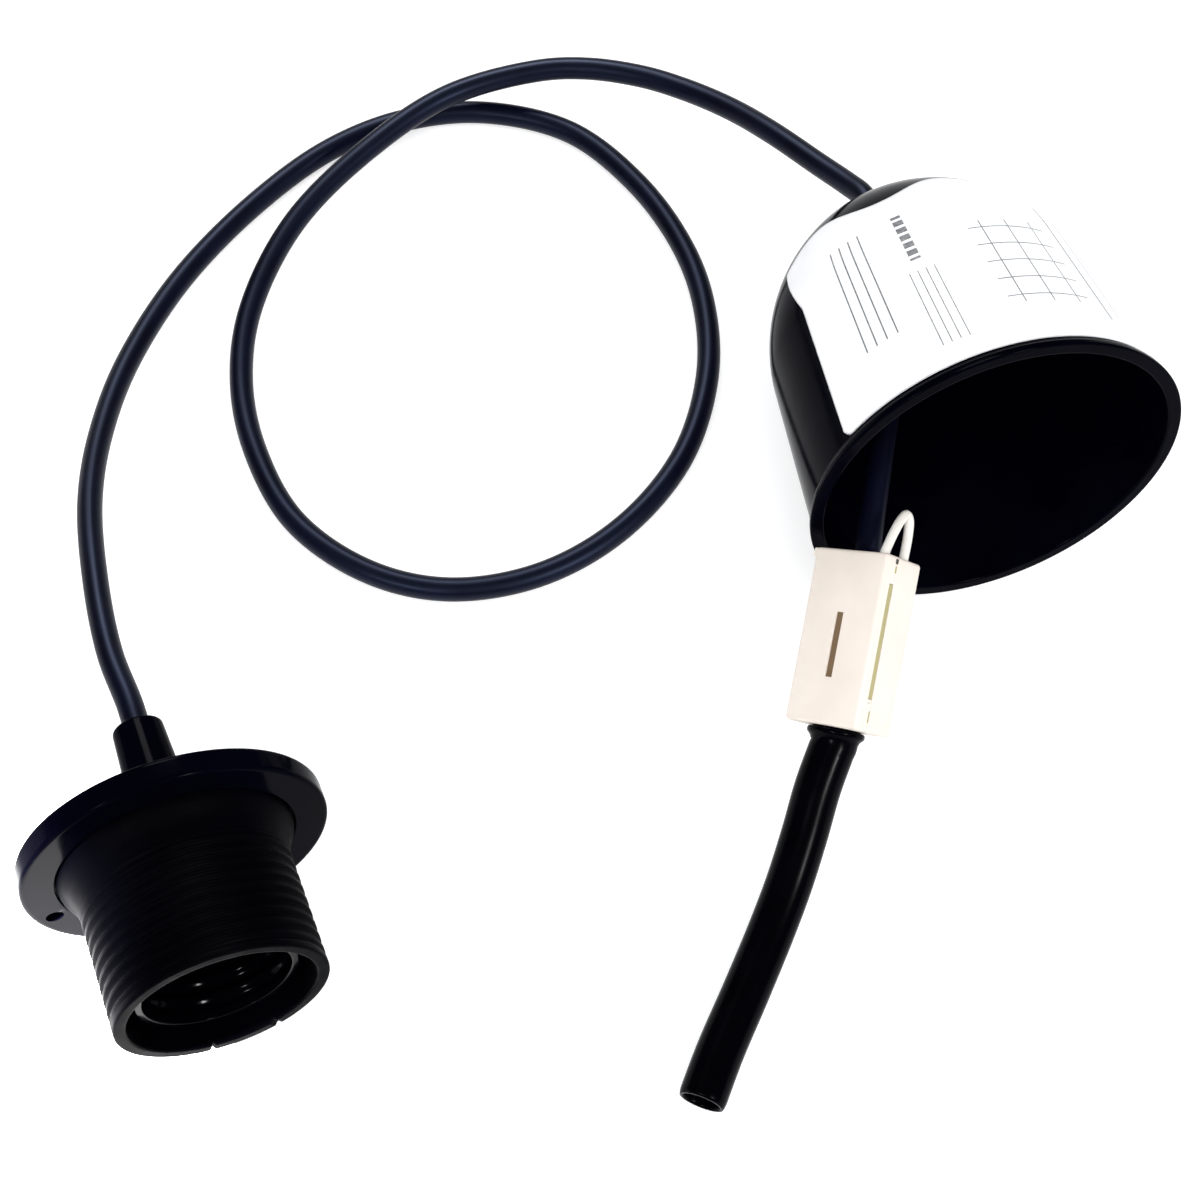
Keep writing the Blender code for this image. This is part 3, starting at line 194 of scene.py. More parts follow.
def face_outward(mesh, merge=MERGE_DISTANCE):
    """Merges doubled points and turns every face of a closed mesh outward."""
    made = bmesh.new()
    made.from_mesh(mesh)
    bmesh.ops.remove_doubles(made, verts=made.verts, dist=merge)
    bmesh.ops.recalc_face_normals(made, faces=made.faces)
    made.to_mesh(mesh)
    made.free()
    mesh.shade_smooth()
    return mesh


def add_piece(name, mesh, body, finish, stands_for=()):
    """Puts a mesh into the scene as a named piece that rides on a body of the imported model."""
    piece = bpy.data.objects.new(name, mesh)
    bpy.context.scene.collection.objects.link(piece)
    mesh.materials.clear()
    mesh.materials.append(finish)
    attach(piece, body)
    if stands_for:
        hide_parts(*stands_for)
    print(f"{name}: {len(mesh.vertices)} points on {body}")
    return piece


# %% [markdown]
# Finishes are procedural. A small kit of node helpers keeps each one readable: a noise gives the cloudy
# change of tone and gloss that a moulded face has, another gives the fine grain, and a bump turns grain
# into relief. Most patterns read Object coordinates, in metres, so a scale of 1000 repeats about once a
# millimetre.

# %% Node helpers
def new_finish(name, roughness, metallic=0.0, shine=0.5):
    """A new finish with its node tree and its shader, whose even values are set on the shader itself."""
    made = bpy.data.materials.new(name)
    made.use_nodes = True
    tree = made.node_tree
    shader = tree.nodes["Principled BSDF"]
    shader.inputs["Roughness"].default_value = roughness
    shader.inputs["Metallic"].default_value = metallic
    shader.inputs["Specular IOR Level"].default_value = shine
    return made, tree, shader


def node(tree, kind, **inputs):
    """Adds a node, with its inputs by position or by name as numbers or as links."""
    made = tree.nodes.new(kind)
    for name, value in inputs.items():
        socket = made.inputs[int(name[1:])] if name[0] == "i" and name[1:].isdigit() else made.inputs[name]
        if isinstance(value, bpy.types.NodeSocket):
            tree.links.new(value, socket)
        else:
            socket.default_value = value
    return made


def object_place(tree, scale=(1.0, 1.0, 1.0)):
    """Object coordinates, stretched along the axes where a pattern is drawn out."""
    place = node(tree, "ShaderNodeTexCoord").outputs["Object"]
    return node(tree, "ShaderNodeMapping", Vector=place, Scale=scale).outputs["Vector"]


def noise(tree, place, scale, detail=3.0, rough=0.55):
    """A cloudy value from 0 to 1 that repeats about once in 1 / scale metres."""
    return node(
        tree, "ShaderNodeTexNoise", Vector=place, Scale=scale, Detail=detail, Roughness=rough
    ).outputs["Fac"]


def spread(tree, value, low, high, from_low=0.3, from_high=0.7):
    """Maps a noise value onto a range of the finish."""
    made = node(tree, "ShaderNodeMapRange", Value=value)
    made.inputs["From Min"].default_value = from_low
    made.inputs["From Max"].default_value = from_high
    made.inputs["To Min"].default_value = low
    made.inputs["To Max"].default_value = high
    return made.outputs["Result"]


def blend_colour(tree, share, first, second):
    """Colour on the way from the first to the second, as far as the share says."""
    made = tree.nodes.new("ShaderNodeMix")
    made.data_type = "RGBA"
    for socket, value in ((made.inputs[0], share), (made.inputs[6], first), (made.inputs[7], second)):
        if isinstance(value, bpy.types.NodeSocket):
            tree.links.new(value, socket)
        else:
            socket.default_value = (*value, 1.0) if isinstance(value, tuple) else value
    return made.outputs[2]


def arithmetic(tree, operation, first, second=0.0, third=0.0):
    """One step of arithmetic on numbers or links."""
    made = tree.nodes.new("ShaderNodeMath")
    made.operation = operation
    for socket, value in zip(made.inputs, (first, second, third)):
        if isinstance(value, bpy.types.NodeSocket):
            tree.links.new(value, socket)
        else:
            socket.default_value = value
    return made.outputs[0]


def relief(tree, shader, height, depth, strength=1.0, under=None):
    """Bump from a height pattern, on top of another bump where one is given."""
    made = node(tree, "ShaderNodeBump", Height=height, Distance=depth, Strength=strength)
    if under is not None:
        tree.links.new(under, made.inputs["Normal"])
    tree.links.new(made.outputs["Normal"], shader.inputs["Normal"])
    return made.outputs["Normal"]


def paint(tree, shader, pattern, first, second):
    """Base colour between two tones, as a noise pattern says."""
    colour = blend_colour(tree, spread(tree, pattern, 0.0, 1.0), first, second)
    tree.links.new(colour, shader.inputs["Base Color"])


def polish(tree, shader, pattern, low, high):
    """Roughness between two values, as a noise pattern says."""
    tree.links.new(spread(tree, pattern, low, high), shader.inputs["Roughness"])


# %% [markdown]
# Moulded plastic: the tone wanders very slightly, handling leaves cloudy patches of gloss, and the mould's
# own skin shows as a faint ripple under an even finer grain. One function serves the black cup, the duller
# black of the threaded barrel, the polished socket and the ivory of the terminal box, with their own tones
# and depths. The extruded cord has a broad bluish sheen, which is a tint on its highlight.

# %% Moulded plastics, rubber and sheath
CLOUD_SCALE = 60.0
HANDLING_SCALE = 140.0
RIPPLE_SCALE = 220.0
GRAIN_SCALE = 3200.0
SKIN_CLOUD_SCALE = 90.0
DRAW_LINES = (12.0, 900.0, 1.0)


def moulded(name, dark, light, gloss, grain, shine=0.5, ripple=2.0e-5):
    """Tone between two colours, roughness between two values, a wide ripple and a fine grain as relief."""
    made, tree, shader = new_finish(name, gloss[0], shine=shine)
    place = object_place(tree)
    cloud = noise(tree, place, CLOUD_SCALE)
    handling = noise(tree, place, HANDLING_SCALE, detail=5.0)
    paint(tree, shader, cloud, dark, light)
    polish(tree, shader, handling, *gloss)
    wide = relief(tree, shader, noise(tree, place, RIPPLE_SCALE, detail=1.0), ripple)
    relief(tree, shader, noise(tree, place, GRAIN_SCALE, detail=2.0), grain, under=wide)
    return made


gloss_black = moulded(
    "gloss_black_plastic", (0.0004, 0.0004, 0.0018), (0.0010, 0.0010, 0.0036), (0.10, 0.18), 3e-6, shine=0.01,
)
barrel_black = moulded(
    "satin_black_plastic", (0.0004, 0.0004, 0.0010), (0.0010, 0.0010, 0.0020), (0.40, 0.55), 8e-6, shine=0.01,
)
socket_black = moulded(
    "socket_black_plastic", (0.0004, 0.0004, 0.0010), (0.0010, 0.0010, 0.0020), (0.08, 0.14), 1e-6,
    shine=0.025,
)
bush_rubber = moulded(
    "black_bush_rubber", (0.0040, 0.0040, 0.0045), (0.0080, 0.0080, 0.0090), (0.55, 0.75), 2e-5, shine=0.2,
)
ivory_plastic = moulded("ivory_box_plastic", (0.72, 0.64, 0.56), (0.80, 0.72, 0.65), (0.38, 0.52), 1e-5)
# Painted shade: the seam's tongue is ivory plastic, darkened here to a yellow-brown for the shade in the seam
# gap. The same tone marks the small shaded recesses past its ends.
painted_seam_shade = moulded(
    "seam_painted_shade", (0.33, 0.29, 0.13), (0.43, 0.39, 0.19), (0.50, 0.65), 1e-5, shine=0.2,
)
brown_block = moulded("brown_block_plastic", (0.10, 0.045, 0.020), (0.17, 0.080, 0.038), (0.40, 0.58), 2e-5)
live_insulation = moulded(
    "brown_core_insulation", (0.12, 0.045, 0.018), (0.17, 0.070, 0.030), (0.32, 0.45), 6e-6,
)
neutral_insulation = moulded(
    "blue_core_insulation", (0.012, 0.060, 0.30), (0.020, 0.085, 0.38), (0.32, 0.45), 6e-6,
)


def extruded(name, dark, light, gloss, line_depth, shine=0.5, sheen=(1.0, 1.0, 1.0)):
    """Skin of an extruded tube: fine draw lines from its UV map in metres, and a tinted highlight."""
    made, tree, shader = new_finish(name, gloss[0], shine=shine)
    shader.inputs["Specular Tint"].default_value = (*sheen, 1.0)
    place = node(tree, "ShaderNodeTexCoord").outputs["UV"]
    drawn = node(tree, "ShaderNodeMapping", Vector=place, Scale=DRAW_LINES).outputs["Vector"]
    lines = noise(tree, drawn, 1.0, detail=4.0)
    cloud = noise(tree, object_place(tree), SKIN_CLOUD_SCALE)
    paint(tree, shader, cloud, dark, light)
    polish(tree, shader, lines, *gloss)
    relief(tree, shader, lines, line_depth)
    return made


cord_skin = extruded(
    "cord_skin", (0.0008, 0.0009, 0.0050), (0.0020, 0.0024, 0.0110), (0.36, 0.50), 2.5e-5,
    shine=0.20, sheen=(0.48, 0.60, 1.0),
)
sleeve_skin = extruded(
    "sleeve_skin", (0.0004, 0.0004, 0.0010), (0.0010, 0.0010, 0.0020), (0.18, 0.28), 1.2e-5, shine=0.025,
)
loop_nylon = extruded("loop_nylon", (0.70, 0.66, 0.60), (0.80, 0.77, 0.72), (0.35, 0.48), 2.0e-5)
print("plastic finishes ready")

# %% [markdown]
# Metal inside the set is hidden until the box is opened or the socket is looked into. Stamped brass has
# rolling lines and a slightly uneven tarnish; the plated screws have a tight, cool sheen with turning
# marks.

# %% Brass and plated steel
ROLL_STRETCH = (1.0, 14.0, 14.0)
ROLL_DEPTH = 6e-6
TARNISH_SCALE = 420.0


def rolled_metal(name, bright, dull, gloss, lines):
    """Rolling lines drawn out along X, tarnish as a slow change of colour and of roughness."""
    made, tree, shader = new_finish(name, gloss[0], metallic=1.0)
    rolled = noise(tree, object_place(tree, ROLL_STRETCH), lines, detail=4.0)
    tarnish = noise(tree, object_place(tree), TARNISH_SCALE, detail=4.0)
    paint(tree, shader, tarnish, bright, dull)
    polish(tree, shader, tarnish, *gloss)
    relief(tree, shader, rolled, ROLL_DEPTH)
    return made


brass = rolled_metal("stamped_brass", (0.78, 0.55, 0.22), (0.52, 0.34, 0.13), (0.22, 0.42), 260.0)
steel = rolled_metal("plated_screw_steel", (0.66, 0.67, 0.69), (0.48, 0.48, 0.50), (0.20, 0.36), 420.0)
print("metal finishes ready")

# %% [markdown]
# The cord is one smooth curve of fixed length. It leaves the terminal box, turns into the cup, comes out
# through the crown, lies down in a loop that crosses itself, and rises into the lampholder's collar. The
# points repeat the route of the solids, and a centripetal Catmull-Rom curve passes through them without
# overshooting.

# %% Route of the cord and of the sleeve
CORD_DIAMETER = 0.0052
CORD_ENTRY = (-0.0012, -0.0010)
CORD_END_IN_BOX = 0.0102
CORD_END_IN_CAP = 0.0088
CORD_STRAIGHT = 0.0060
BUSH_TRAVEL = 0.0080
CORD_BEND_MARGIN = 0.0015
COLLAR_LOW = -0.0290
UP = (0.0, 0.0, 1.0)
CORD_STEP = 0.0012
CORD_SIDES = 28
CORD_IN_CUP = np.array([
    (0.0512, -0.0154, 0.0350), (0.0596, 0.0028, 0.0381), (0.0689, 0.0222, 0.0373),
    (0.0750, 0.0385, 0.0335),
])
CORD_ON_TABLE = np.array([
    (0.0761, 0.0721, 0.0271), (0.0725, 0.0807, 0.0246), (0.0659, 0.0946, 0.0216),
    (0.0599, 0.1064, 0.0181), (0.0522, 0.1171, 0.0151), (0.0439, 0.1248, 0.0136),
    (0.0324, 0.1315, 0.0124), (0.0209, 0.1350, 0.0112), (-0.0007, 0.1346, 0.0096),
    (-0.0223, 0.1250, 0.0085), (-0.0435, 0.1098, 0.0065), (-0.0578, 0.0903, 0.0042),
    (-0.0634, 0.0728, 0.0030), (-0.0639, 0.0542, 0.0028), (-0.0588, 0.0338, 0.0028),
    (-0.0459, 0.0177, 0.0028), (-0.0304, 0.0093, 0.0028), (-0.0111, 0.0078, 0.0028),
    (0.0082, 0.0139, 0.0028), (0.0257, 0.0274, 0.0028), (0.0371, 0.0459, 0.0028),
    (0.0419, 0.0636, 0.0028), (0.0422, 0.0810, 0.0028), (0.0368, 0.1025, 0.0028),
    (0.0250, 0.1222, 0.0028), (0.0061, 0.1333, 0.0028), (-0.0132, 0.1356, 0.0028),
    (-0.0311, 0.1316, 0.0028), (-0.0505, 0.1206, 0.0032), (-0.0709, 0.1027, 0.0048),
    (-0.0864, 0.0807, 0.0082), (-0.0947, 0.0609, 0.0124), (-0.0990, 0.0417, 0.0171),
    (-0.1002, 0.0198, 0.0216), (-0.0995, 0.0014, 0.0246),
])
SLEEVE_ON_TABLE = np.array([
    (0.0282, -0.0587, 0.0169), (0.0233, -0.0663, 0.0122), (0.0182, -0.0737, 0.0084),
    (0.0123, -0.0814, 0.0061), (0.0043, -0.0913, 0.0052), (-0.0037, -0.1010, 0.0050),
    (-0.0098, -0.1092, 0.0050),
])


def smooth_path(points, step, closed=False, samples=40):
    """Centripetal Catmull-Rom curve: between two points it blends the lines through the four nearest ones,
    with knots spaced by the square root of the distance, and is then read off at even steps."""
    p = np.asarray(points, float)
    if closed:
        p = np.vstack([p[-1:], p, p[:2]])
    else:
        p = np.vstack([2 * p[:1] - p[1:2], p, 2 * p[-1:] - p[-2:-1]])
    knots = np.concatenate([[0.0], np.cumsum(np.linalg.norm(np.diff(p, axis=0), axis=1) ** 0.5)])
    spans = len(p) - 3
    near = [p[k:spans + k, None] for k in range(4)]
    at = [knots[k:spans + k, None, None] for k in range(4)]
    t = at[1] + (at[2] - at[1]) * np.linspace(0.0, 1.0, samples, endpoint=False)[None, :, None]

    def between(a, b, start, end):
        return ((end - t) * a + (t - start) * b) / (end - start)

    lines = [between(near[k], near[k + 1], at[k], at[k + 1]) for k in range(3)]
    bends = [between(lines[k], lines[k + 1], at[k], at[k + 2]) for k in range(2)]
    dense = np.vstack([between(bends[0], bends[1], at[1], at[2]).reshape(-1, 3), p[-2:-1]])
    run = np.concatenate([[0.0], np.cumsum(np.linalg.norm(np.diff(dense, axis=0), axis=1))])
    even = np.linspace(0.0, run[-1], max(4, int(round(run[-1] / step)) + 1))
    even = even[:-1] if closed else even
    return np.column_stack([np.interp(even, run, dense[:, k]) for k in range(3)])


def length_of(path):
    """Sum of the distances between neighbouring points."""
    return float(np.linalg.norm(np.diff(path, axis=0), axis=1).sum())


def axis_points(matrix, heights):
    """Points on a frame's own Z axis."""
    return placed(matrix, np.outer(heights, UP))


box_end = BOX_LENGTH / 2
cord_start = placed(box_frame, [(CORD_ENTRY[0], y, CORD_ENTRY[1]) for y in (CORD_END_IN_BOX, box_end)])
crown_stretch = np.array([-CORD_STRAIGHT, BUSH_TRAVEL / 2, BUSH_TRAVEL + CORD_BEND_MARGIN])
collar_stretch = np.array([-CORD_STRAIGHT, 0.0, CORD_STRAIGHT])
cord_points = np.vstack([
    cord_start,
    CORD_IN_CUP + LAYOUT_SHIFT,
    axis_points(cup_frame, CUP_HEIGHT + crown_stretch),
    CORD_ON_TABLE + LAYOUT_SHIFT,
    axis_points(holder_frame, COLLAR_LOW + collar_stretch),
    axis_points(holder_frame, [-CORD_END_IN_CAP]),
])
cord_path = smooth_path(cord_points, CORD_STEP)
print(f"cord {length_of(cord_path):.4f} m through {len(cord_points)} points")

# %% [markdown]
# Strands, bars and bent strips are all one idea: a section carried along a path. At each point the section
# stands square to the path, on two directions made with cross products, and it may grow or shrink on the
# way. Open ends close in a last row that shrinks to the path itself.

# %% A section carried along a path
END_SHRINK = 0.92


def circle(radius, sides):
    """Points (r cos a, r sin a) at even angles."""
    angle = np.arange(sides) * 2 * math.pi / sides
    return radius * np.column_stack([np.cos(angle), np.sin(angle)])


def carried(path, section, upright=UP, scale=1.0, closed=False, capped=True):
    """Path + scale * (first * sideways + second * upward). Sideways is square to the path and to upright."""
    path = np.asarray(path, float)
    if closed:
        ahead = np.roll(path, -1, axis=0) - np.roll(path, 1, axis=0)
    else:
        ahead = np.gradient(path, axis=0)
    sideways = np.cross(ahead, upright)
    sideways /= np.linalg.norm(sideways, axis=1)[:, None]
    upward = np.cross(sideways, ahead)
    upward /= np.linalg.norm(upward, axis=1)[:, None]
    flat = section[None, :, :1] * sideways[:, None] + section[None, :, 1:] * upward[:, None]
    grid = path[:, None] + np.broadcast_to(scale, len(path))[:, None, None] * flat
    if closed or not capped:
        return grid
    poles = path[[0, -1], None] + 0.0 * grid[[0, -1]]
    return np.concatenate([poles[:1], grid, poles[1:]])


def strand(name, path, diameter, sides, upright=UP, closed=False):
    """A round strand with softened ends, or a closed ring."""
    scale = np.ones(len(path))
    scale[[0, -1]] = 1.0 if closed else END_SHRINK
    grid = carried(path, circle(diameter / 2, sides), upright, scale, closed)
    return face_outward(surface(
        name, grid, close_rows=closed, close_columns=True, along=length_of(path), across=math.pi * diameter,
    ))


cord = add_piece(
    "cord_sheath", strand("cord_sheath", cord_path, CORD_DIAMETER, CORD_SIDES),
    "cord_set", cord_skin, ["pendant_cord"],
)

# %% [markdown]
# The black sleeve is a short length of soft tube for the supply wires. It is pushed into the end of the
# box, where its mouth is flared to a small collar, and its other end is cut square and open. An outer and
# an inner wall are two strands on one path, joined at both ends into a single closed skin.

# %% Insulating sleeve
SLEEVE_RADIUS = 0.0046
SLEEVE_BORE_RADIUS = 0.0036
SLEEVE_STRAIGHT = 0.0025
SLEEVE_SEAT = 0.0015
SLEEVE_STEP = 0.0006
SLEEVE_SIDES = 48
FLARE_REACH = 0.0025
CUT_EDGE_OUTSIDE = np.array([0.00002, 0.00010, 0.00028])
CUT_EDGE_INSIDE = np.array([0.00006, 0.00022])
# Rows of the flare: place past the box's end, and radius
FLARE_STEPS = np.array([
    (0.0020, 0.00452), (0.0010, 0.00460), (-0.0001, 0.00460), (-0.0003, 0.00545), (-0.0005, 0.00564),
    (-0.0009, 0.00570), (-0.0013, 0.00562), (-0.0016, 0.00535), (-0.0020, 0.00495), (-0.0026, 0.00470),
    (-0.0034, 0.00462),
])

flare_path = placed(box_frame, [(0.0, y - box_end, 0.0) for y in FLARE_STEPS[:, 0]])
sleeve_start = placed(box_frame, [(0.0, y - box_end, 0.0) for y in (-SLEEVE_SEAT, -SLEEVE_STRAIGHT)])
sleeve_bend = smooth_path(np.vstack([sleeve_start, SLEEVE_ON_TABLE + LAYOUT_SHIFT]), SLEEVE_STEP)
sleeve_bend = sleeve_bend[np.linalg.norm(sleeve_bend - sleeve_start[0], axis=1) > FLARE_REACH]
sleeve_path = np.vstack([flare_path, sleeve_bend])
outer_radius = np.concatenate([FLARE_STEPS[:, 1], np.full(len(sleeve_bend), SLEEVE_RADIUS)])
outer_radius[-3:] = SLEEVE_RADIUS - CUT_EDGE_OUTSIDE
inner_radius = np.full(len(sleeve_path), SLEEVE_BORE_RADIUS)
inner_radius[-2:] += CUT_EDGE_INSIDE
round_tube = circle(1.0, SLEEVE_SIDES)
sleeve_grid = np.concatenate([
    carried(sleeve_path, round_tube, UP, outer_radius, capped=False),
    carried(sleeve_path, round_tube, UP, inner_radius, capped=False)[::-1],
])
sleeve_length = length_of(sleeve_path)
sleeve = add_piece(
    "sleeve_tube",
    face_outward(surface(
        "sleeve_tube", sleeve_grid, close_rows=True, close_columns=True,
        along=2 * sleeve_length, across=2 * math.pi * SLEEVE_RADIUS,
    )),
    "cord_set", sleeve_skin, ["insulating_sleeve"],
)
print(f"sleeve {sleeve_length:.4f} m")

# %% [markdown]
# Cups, caps and bushes are turned shapes: an outline of radius and height, spun about an axis. A moulded
# part has no knife edges, so each corner of the outline becomes a small arc first. One more point on each
# straight, just outside the arc, keeps the wide faces flat when the shading is smooth.

# %% Outline with rounded corners, and its spin
LONGEST_ARC = 0.41
GUARD_REACH = 1.2
SHORTEST_SIDE = 1e-9


def rounded(corners, steps=5):
    """Outline of (radius, height, corner arc): each corner with an arc becomes a quadratic curve between the
    points that lie one arc before and one arc after it. An arc takes a limited share of its shorter side."""
    corners = np.asarray(corners, float)
    p, arc = corners[:, :2], corners[:, 2]
    back, ahead = np.roll(p, 1, axis=0) - p, np.roll(p, -1, axis=0) - p
    back_length, ahead_length = (
        np.maximum(np.linalg.norm(v, axis=1), SHORTEST_SIDE) for v in (back, ahead)
    )
    arc = np.minimum(arc, LONGEST_ARC * np.minimum(back_length, ahead_length))
    before = back / back_length[:, None] * arc[:, None]
    after = ahead / ahead_length[:, None] * arc[:, None]
    t = np.linspace(0.0, 1.0, steps)[None, :, None]
    start, corner, end = (v[:, None] for v in (p + before, p, p + after))
    curve = (1 - t) ** 2 * start + 2 * t * (1 - t) * corner + t ** 2 * end
    guards = [(p + GUARD_REACH * v)[:, None] for v in (before, after)]
    points = np.concatenate([guards[0], curve, guards[1]], axis=1)
    keep = np.tile((arc > 0)[:, None], (1, steps + 2))
    keep[:, (steps + 2) // 2] = True
    return points[keep]


def turned(matrix, radius, height, steps):
    """Spins radii and heights about a frame's Z axis: (r cos a, r sin a, h). Each is one value a row, or a
    grid."""
    angle = np.arange(steps) * 2 * math.pi / steps
    r, h = (np.broadcast_to(np.reshape(v, (len(v), -1)), (len(v), steps)) for v in (radius, height))
    return placed(matrix, np.stack([r * np.cos(angle), r * np.sin(angle), h], axis=-1))


def plain(points):
    """Points of an outline that keep their corners."""
    points = np.asarray(points, float)
    return np.column_stack([points, np.zeros(len(points))])


def turned_shell(name, matrix, corners, steps):
    """A closed outline, rounded and spun into a ring-shaped body."""
    outline = rounded(corners)
    grid = turned(matrix, outline[:, 0], outline[:, 1], steps)
    return face_outward(surface(name, grid, close_rows=True, close_columns=True))


# %% [markdown]
# The ceiling cup hides the terminal box under the ceiling. Its wall tapers by 5.4 degrees and runs into one
# wide dome, a small lip stiffens the mouth, and the crown has a flat seat and a hole for the cord's bush.
# The outline runs down the outside and back up the inside, a wall's thickness away.

# %% Ceiling cup
CUP_RIM_RADIUS = 0.0386
CUP_WALL = 0.0020
CUP_TAPER = math.radians(5.4)
CUP_DOME_RADIUS = 0.0385
CROWN_RADIUS = 0.0070
CUP_LIP_WIDTH = 0.0009
CUP_LIP_HEIGHT = 0.0015
CUP_LIP_DRAFT = 0.0003
CUP_EDGE = 0.0005
CUP_STEPS = 192
BUSH_NECK_RADIUS = 0.0046


def cup_wall(height):
    """Outer radius of the tapered wall at a height above the mouth."""
    return CUP_RIM_RADIUS - CUP_LIP_WIDTH - height * math.tan(CUP_TAPER)


def dome_centre():
    """Centre (radius, height) of the dome's arc. It lies one arc's radius inside the wall, and one from the
    edge of the crown's seat: the smaller root of a quadratic in its height."""
    reach = CUP_RIM_RADIUS - CUP_LIP_WIDTH - CUP_DOME_RADIUS / math.cos(CUP_TAPER)
    gap, lean = reach - CROWN_RADIUS, math.tan(CUP_TAPER)
    middle, square = CUP_HEIGHT + gap * lean, 1 + lean ** 2
    root = middle ** 2 - square * (gap ** 2 + CUP_HEIGHT ** 2 - CUP_DOME_RADIUS ** 2)
    height = (middle - math.sqrt(root)) / square
    return reach - height * lean, height


dome_middle, dome_low = dome_centre()
dome_foot = dome_low + CUP_DOME_RADIUS * math.sin(CUP_TAPER)


def cup_dome(inset, count=40):
    """Arc of the dome from the crown's seat down to the wall, drawn in by a wall's thickness inside."""
    radius = CUP_DOME_RADIUS - inset
    angle = np.linspace(math.asin((CUP_HEIGHT - inset - dome_low) / radius), CUP_TAPER, count)
    return np.column_stack([dome_middle + radius * np.cos(angle), dome_low + radius * np.sin(angle)])


crown_hole = BUSH_NECK_RADIUS + SEAT_GAP
lip_top = CUP_LIP_HEIGHT + CUP_LIP_WIDTH
inner_mouth = CUP_RIM_RADIUS - CUP_LIP_WIDTH - CUP_WALL / math.cos(CUP_TAPER)
cup_outline = np.vstack([
    [(crown_hole, CUP_HEIGHT, CUP_EDGE)],
    plain(cup_dome(0.0)),
    [(cup_wall(lip_top), lip_top, 0.0007), (CUP_RIM_RADIUS - CUP_LIP_DRAFT, CUP_LIP_HEIGHT, 0.0004)],
    [(CUP_RIM_RADIUS, 0.0, CUP_EDGE), (inner_mouth, 0.0, CUP_EDGE)],
    plain(cup_dome(CUP_WALL)[::-1]),
    [(crown_hole, CUP_HEIGHT - CUP_WALL, CUP_EDGE)],
])
add_piece(
    "cup_shell", turned_shell("cup_shell", cup_frame, cup_outline, CUP_STEPS),
    "cup", gloss_black, ["ceiling_cup"],
)

# %% [markdown]
# A rubber bush sits in the crown's hole and grips the cord, so the cup can be pushed up to the ceiling and
# stays there. It is a turned ring with a groove for the crown's edge and a rounded flange on either side.

# %% Cord bush
BUSH_FLANGE_RADIUS = 0.0064
BUSH_FLANGE_THICKNESS = 0.0014
BUSH_BORE_RADIUS = 0.0031
BUSH_STEPS = 72

bush_top = CUP_HEIGHT + SEAT_GAP
bush_bottom = CUP_HEIGHT - CUP_WALL - SEAT_GAP
bush_outline = [
    (BUSH_BORE_RADIUS, bush_top + BUSH_FLANGE_THICKNESS, 0.0004),
    (BUSH_FLANGE_RADIUS, bush_top + BUSH_FLANGE_THICKNESS, 0.0008),
    (BUSH_FLANGE_RADIUS, bush_top, 0.0003),
    (BUSH_NECK_RADIUS, bush_top, 0.0002),
    (BUSH_NECK_RADIUS, bush_bottom, 0.0002),
    (BUSH_FLANGE_RADIUS, bush_bottom, 0.0003),
    (BUSH_FLANGE_RADIUS, bush_bottom - BUSH_FLANGE_THICKNESS, 0.0006),
    (BUSH_BORE_RADIUS, bush_bottom - BUSH_FLANGE_THICKNESS, 0.0004),
]
add_piece(
    "bush_grommet", turned_shell("bush_grommet", cup_frame, bush_outline, BUSH_STEPS),
    "bush", bush_rubber, ["cord_bush"],
)

# %% [markdown]
# A paper label is wrapped round more than a third of the cup. It follows the wall and the foot of the dome,
# its upper edge is cut in a slow wave, its first edge leans out as it climbs the dome, and its lower
# corners are rounded. The sheet is a thin closed skin: a front and a back face, which meet in its edges.
# Its UV map is in metres, so the print is drawn at its real size.

# %% Paper label, the sheet
LABEL_START = math.radians(-57.7)
LABEL_LEAN = math.radians(8.3)
LABEL_END = math.radians(78.0)
LABEL_MARGIN = 0.0005
LABEL_LOW = lip_top + LABEL_MARGIN
LABEL_TOP = 0.0543
LABEL_WAVE = 0.0026
LABEL_WAVE_RATE = 6.3
LABEL_WAVE_PHASE = 0.386
LABEL_LIFT = 0.00004
LABEL_THICKNESS = 0.00016
LABEL_CORNER = math.radians(3.0)
LABEL_CORNER_LIFT = 0.0020
LABEL_EDGE = math.radians(0.3)
LABEL_EDGE_RATE = 200
LABEL_MEAN_RADIUS = 0.036
LABEL_COLUMNS = 136
LABEL_ROWS = 60
LABEL_MERGE = 1e-7


def cup_outside(height):
    """Radius of the cup's outside: the tapered wall, or the dome's arc above it."""
    rise = np.clip(height - dome_low, 0.0, CUP_DOME_RADIUS)
    arc = dome_middle + np.sqrt(CUP_DOME_RADIUS ** 2 - rise ** 2)
    return np.where(height <= dome_foot, cup_wall(height), arc)


label_round = np.linspace(0.0, 1.0, LABEL_COLUMNS)[:, None]
label_share = np.linspace(0.0, 1.0, LABEL_ROWS)[None, :]
crest_angle = LABEL_START - LABEL_LEAN + label_round * (LABEL_END - LABEL_START + LABEL_LEAN)
edge_near = np.minimum(label_round, 1.0 - label_round) * (LABEL_END - LABEL_START)
corner_lift = LABEL_CORNER_LIFT * np.clip(1.0 - edge_near / LABEL_CORNER, 0.0, 1.0) ** 2
label_low = LABEL_LOW + corner_lift
label_high = LABEL_TOP + LABEL_WAVE * np.sin(LABEL_WAVE_RATE * crest_angle + LABEL_WAVE_PHASE)
label_height = label_low + (label_high - label_low) * label_share
label_climb = np.clip((label_height - dome_foot) / (label_high - dome_foot), 0.0, 1.0)
label_begin = LABEL_START - LABEL_LEAN * label_climb
label_angle = label_begin + label_round * (LABEL_END - label_begin)
label_radius = cup_outside(label_height)


def label_side(lift):
    """Points (r sin a, -r cos a, h) of the sheet at a lift above the cup."""
    radius = label_radius + lift
    return np.stack([radius * np.sin(label_angle), -radius * np.cos(label_angle), label_height], axis=-1)


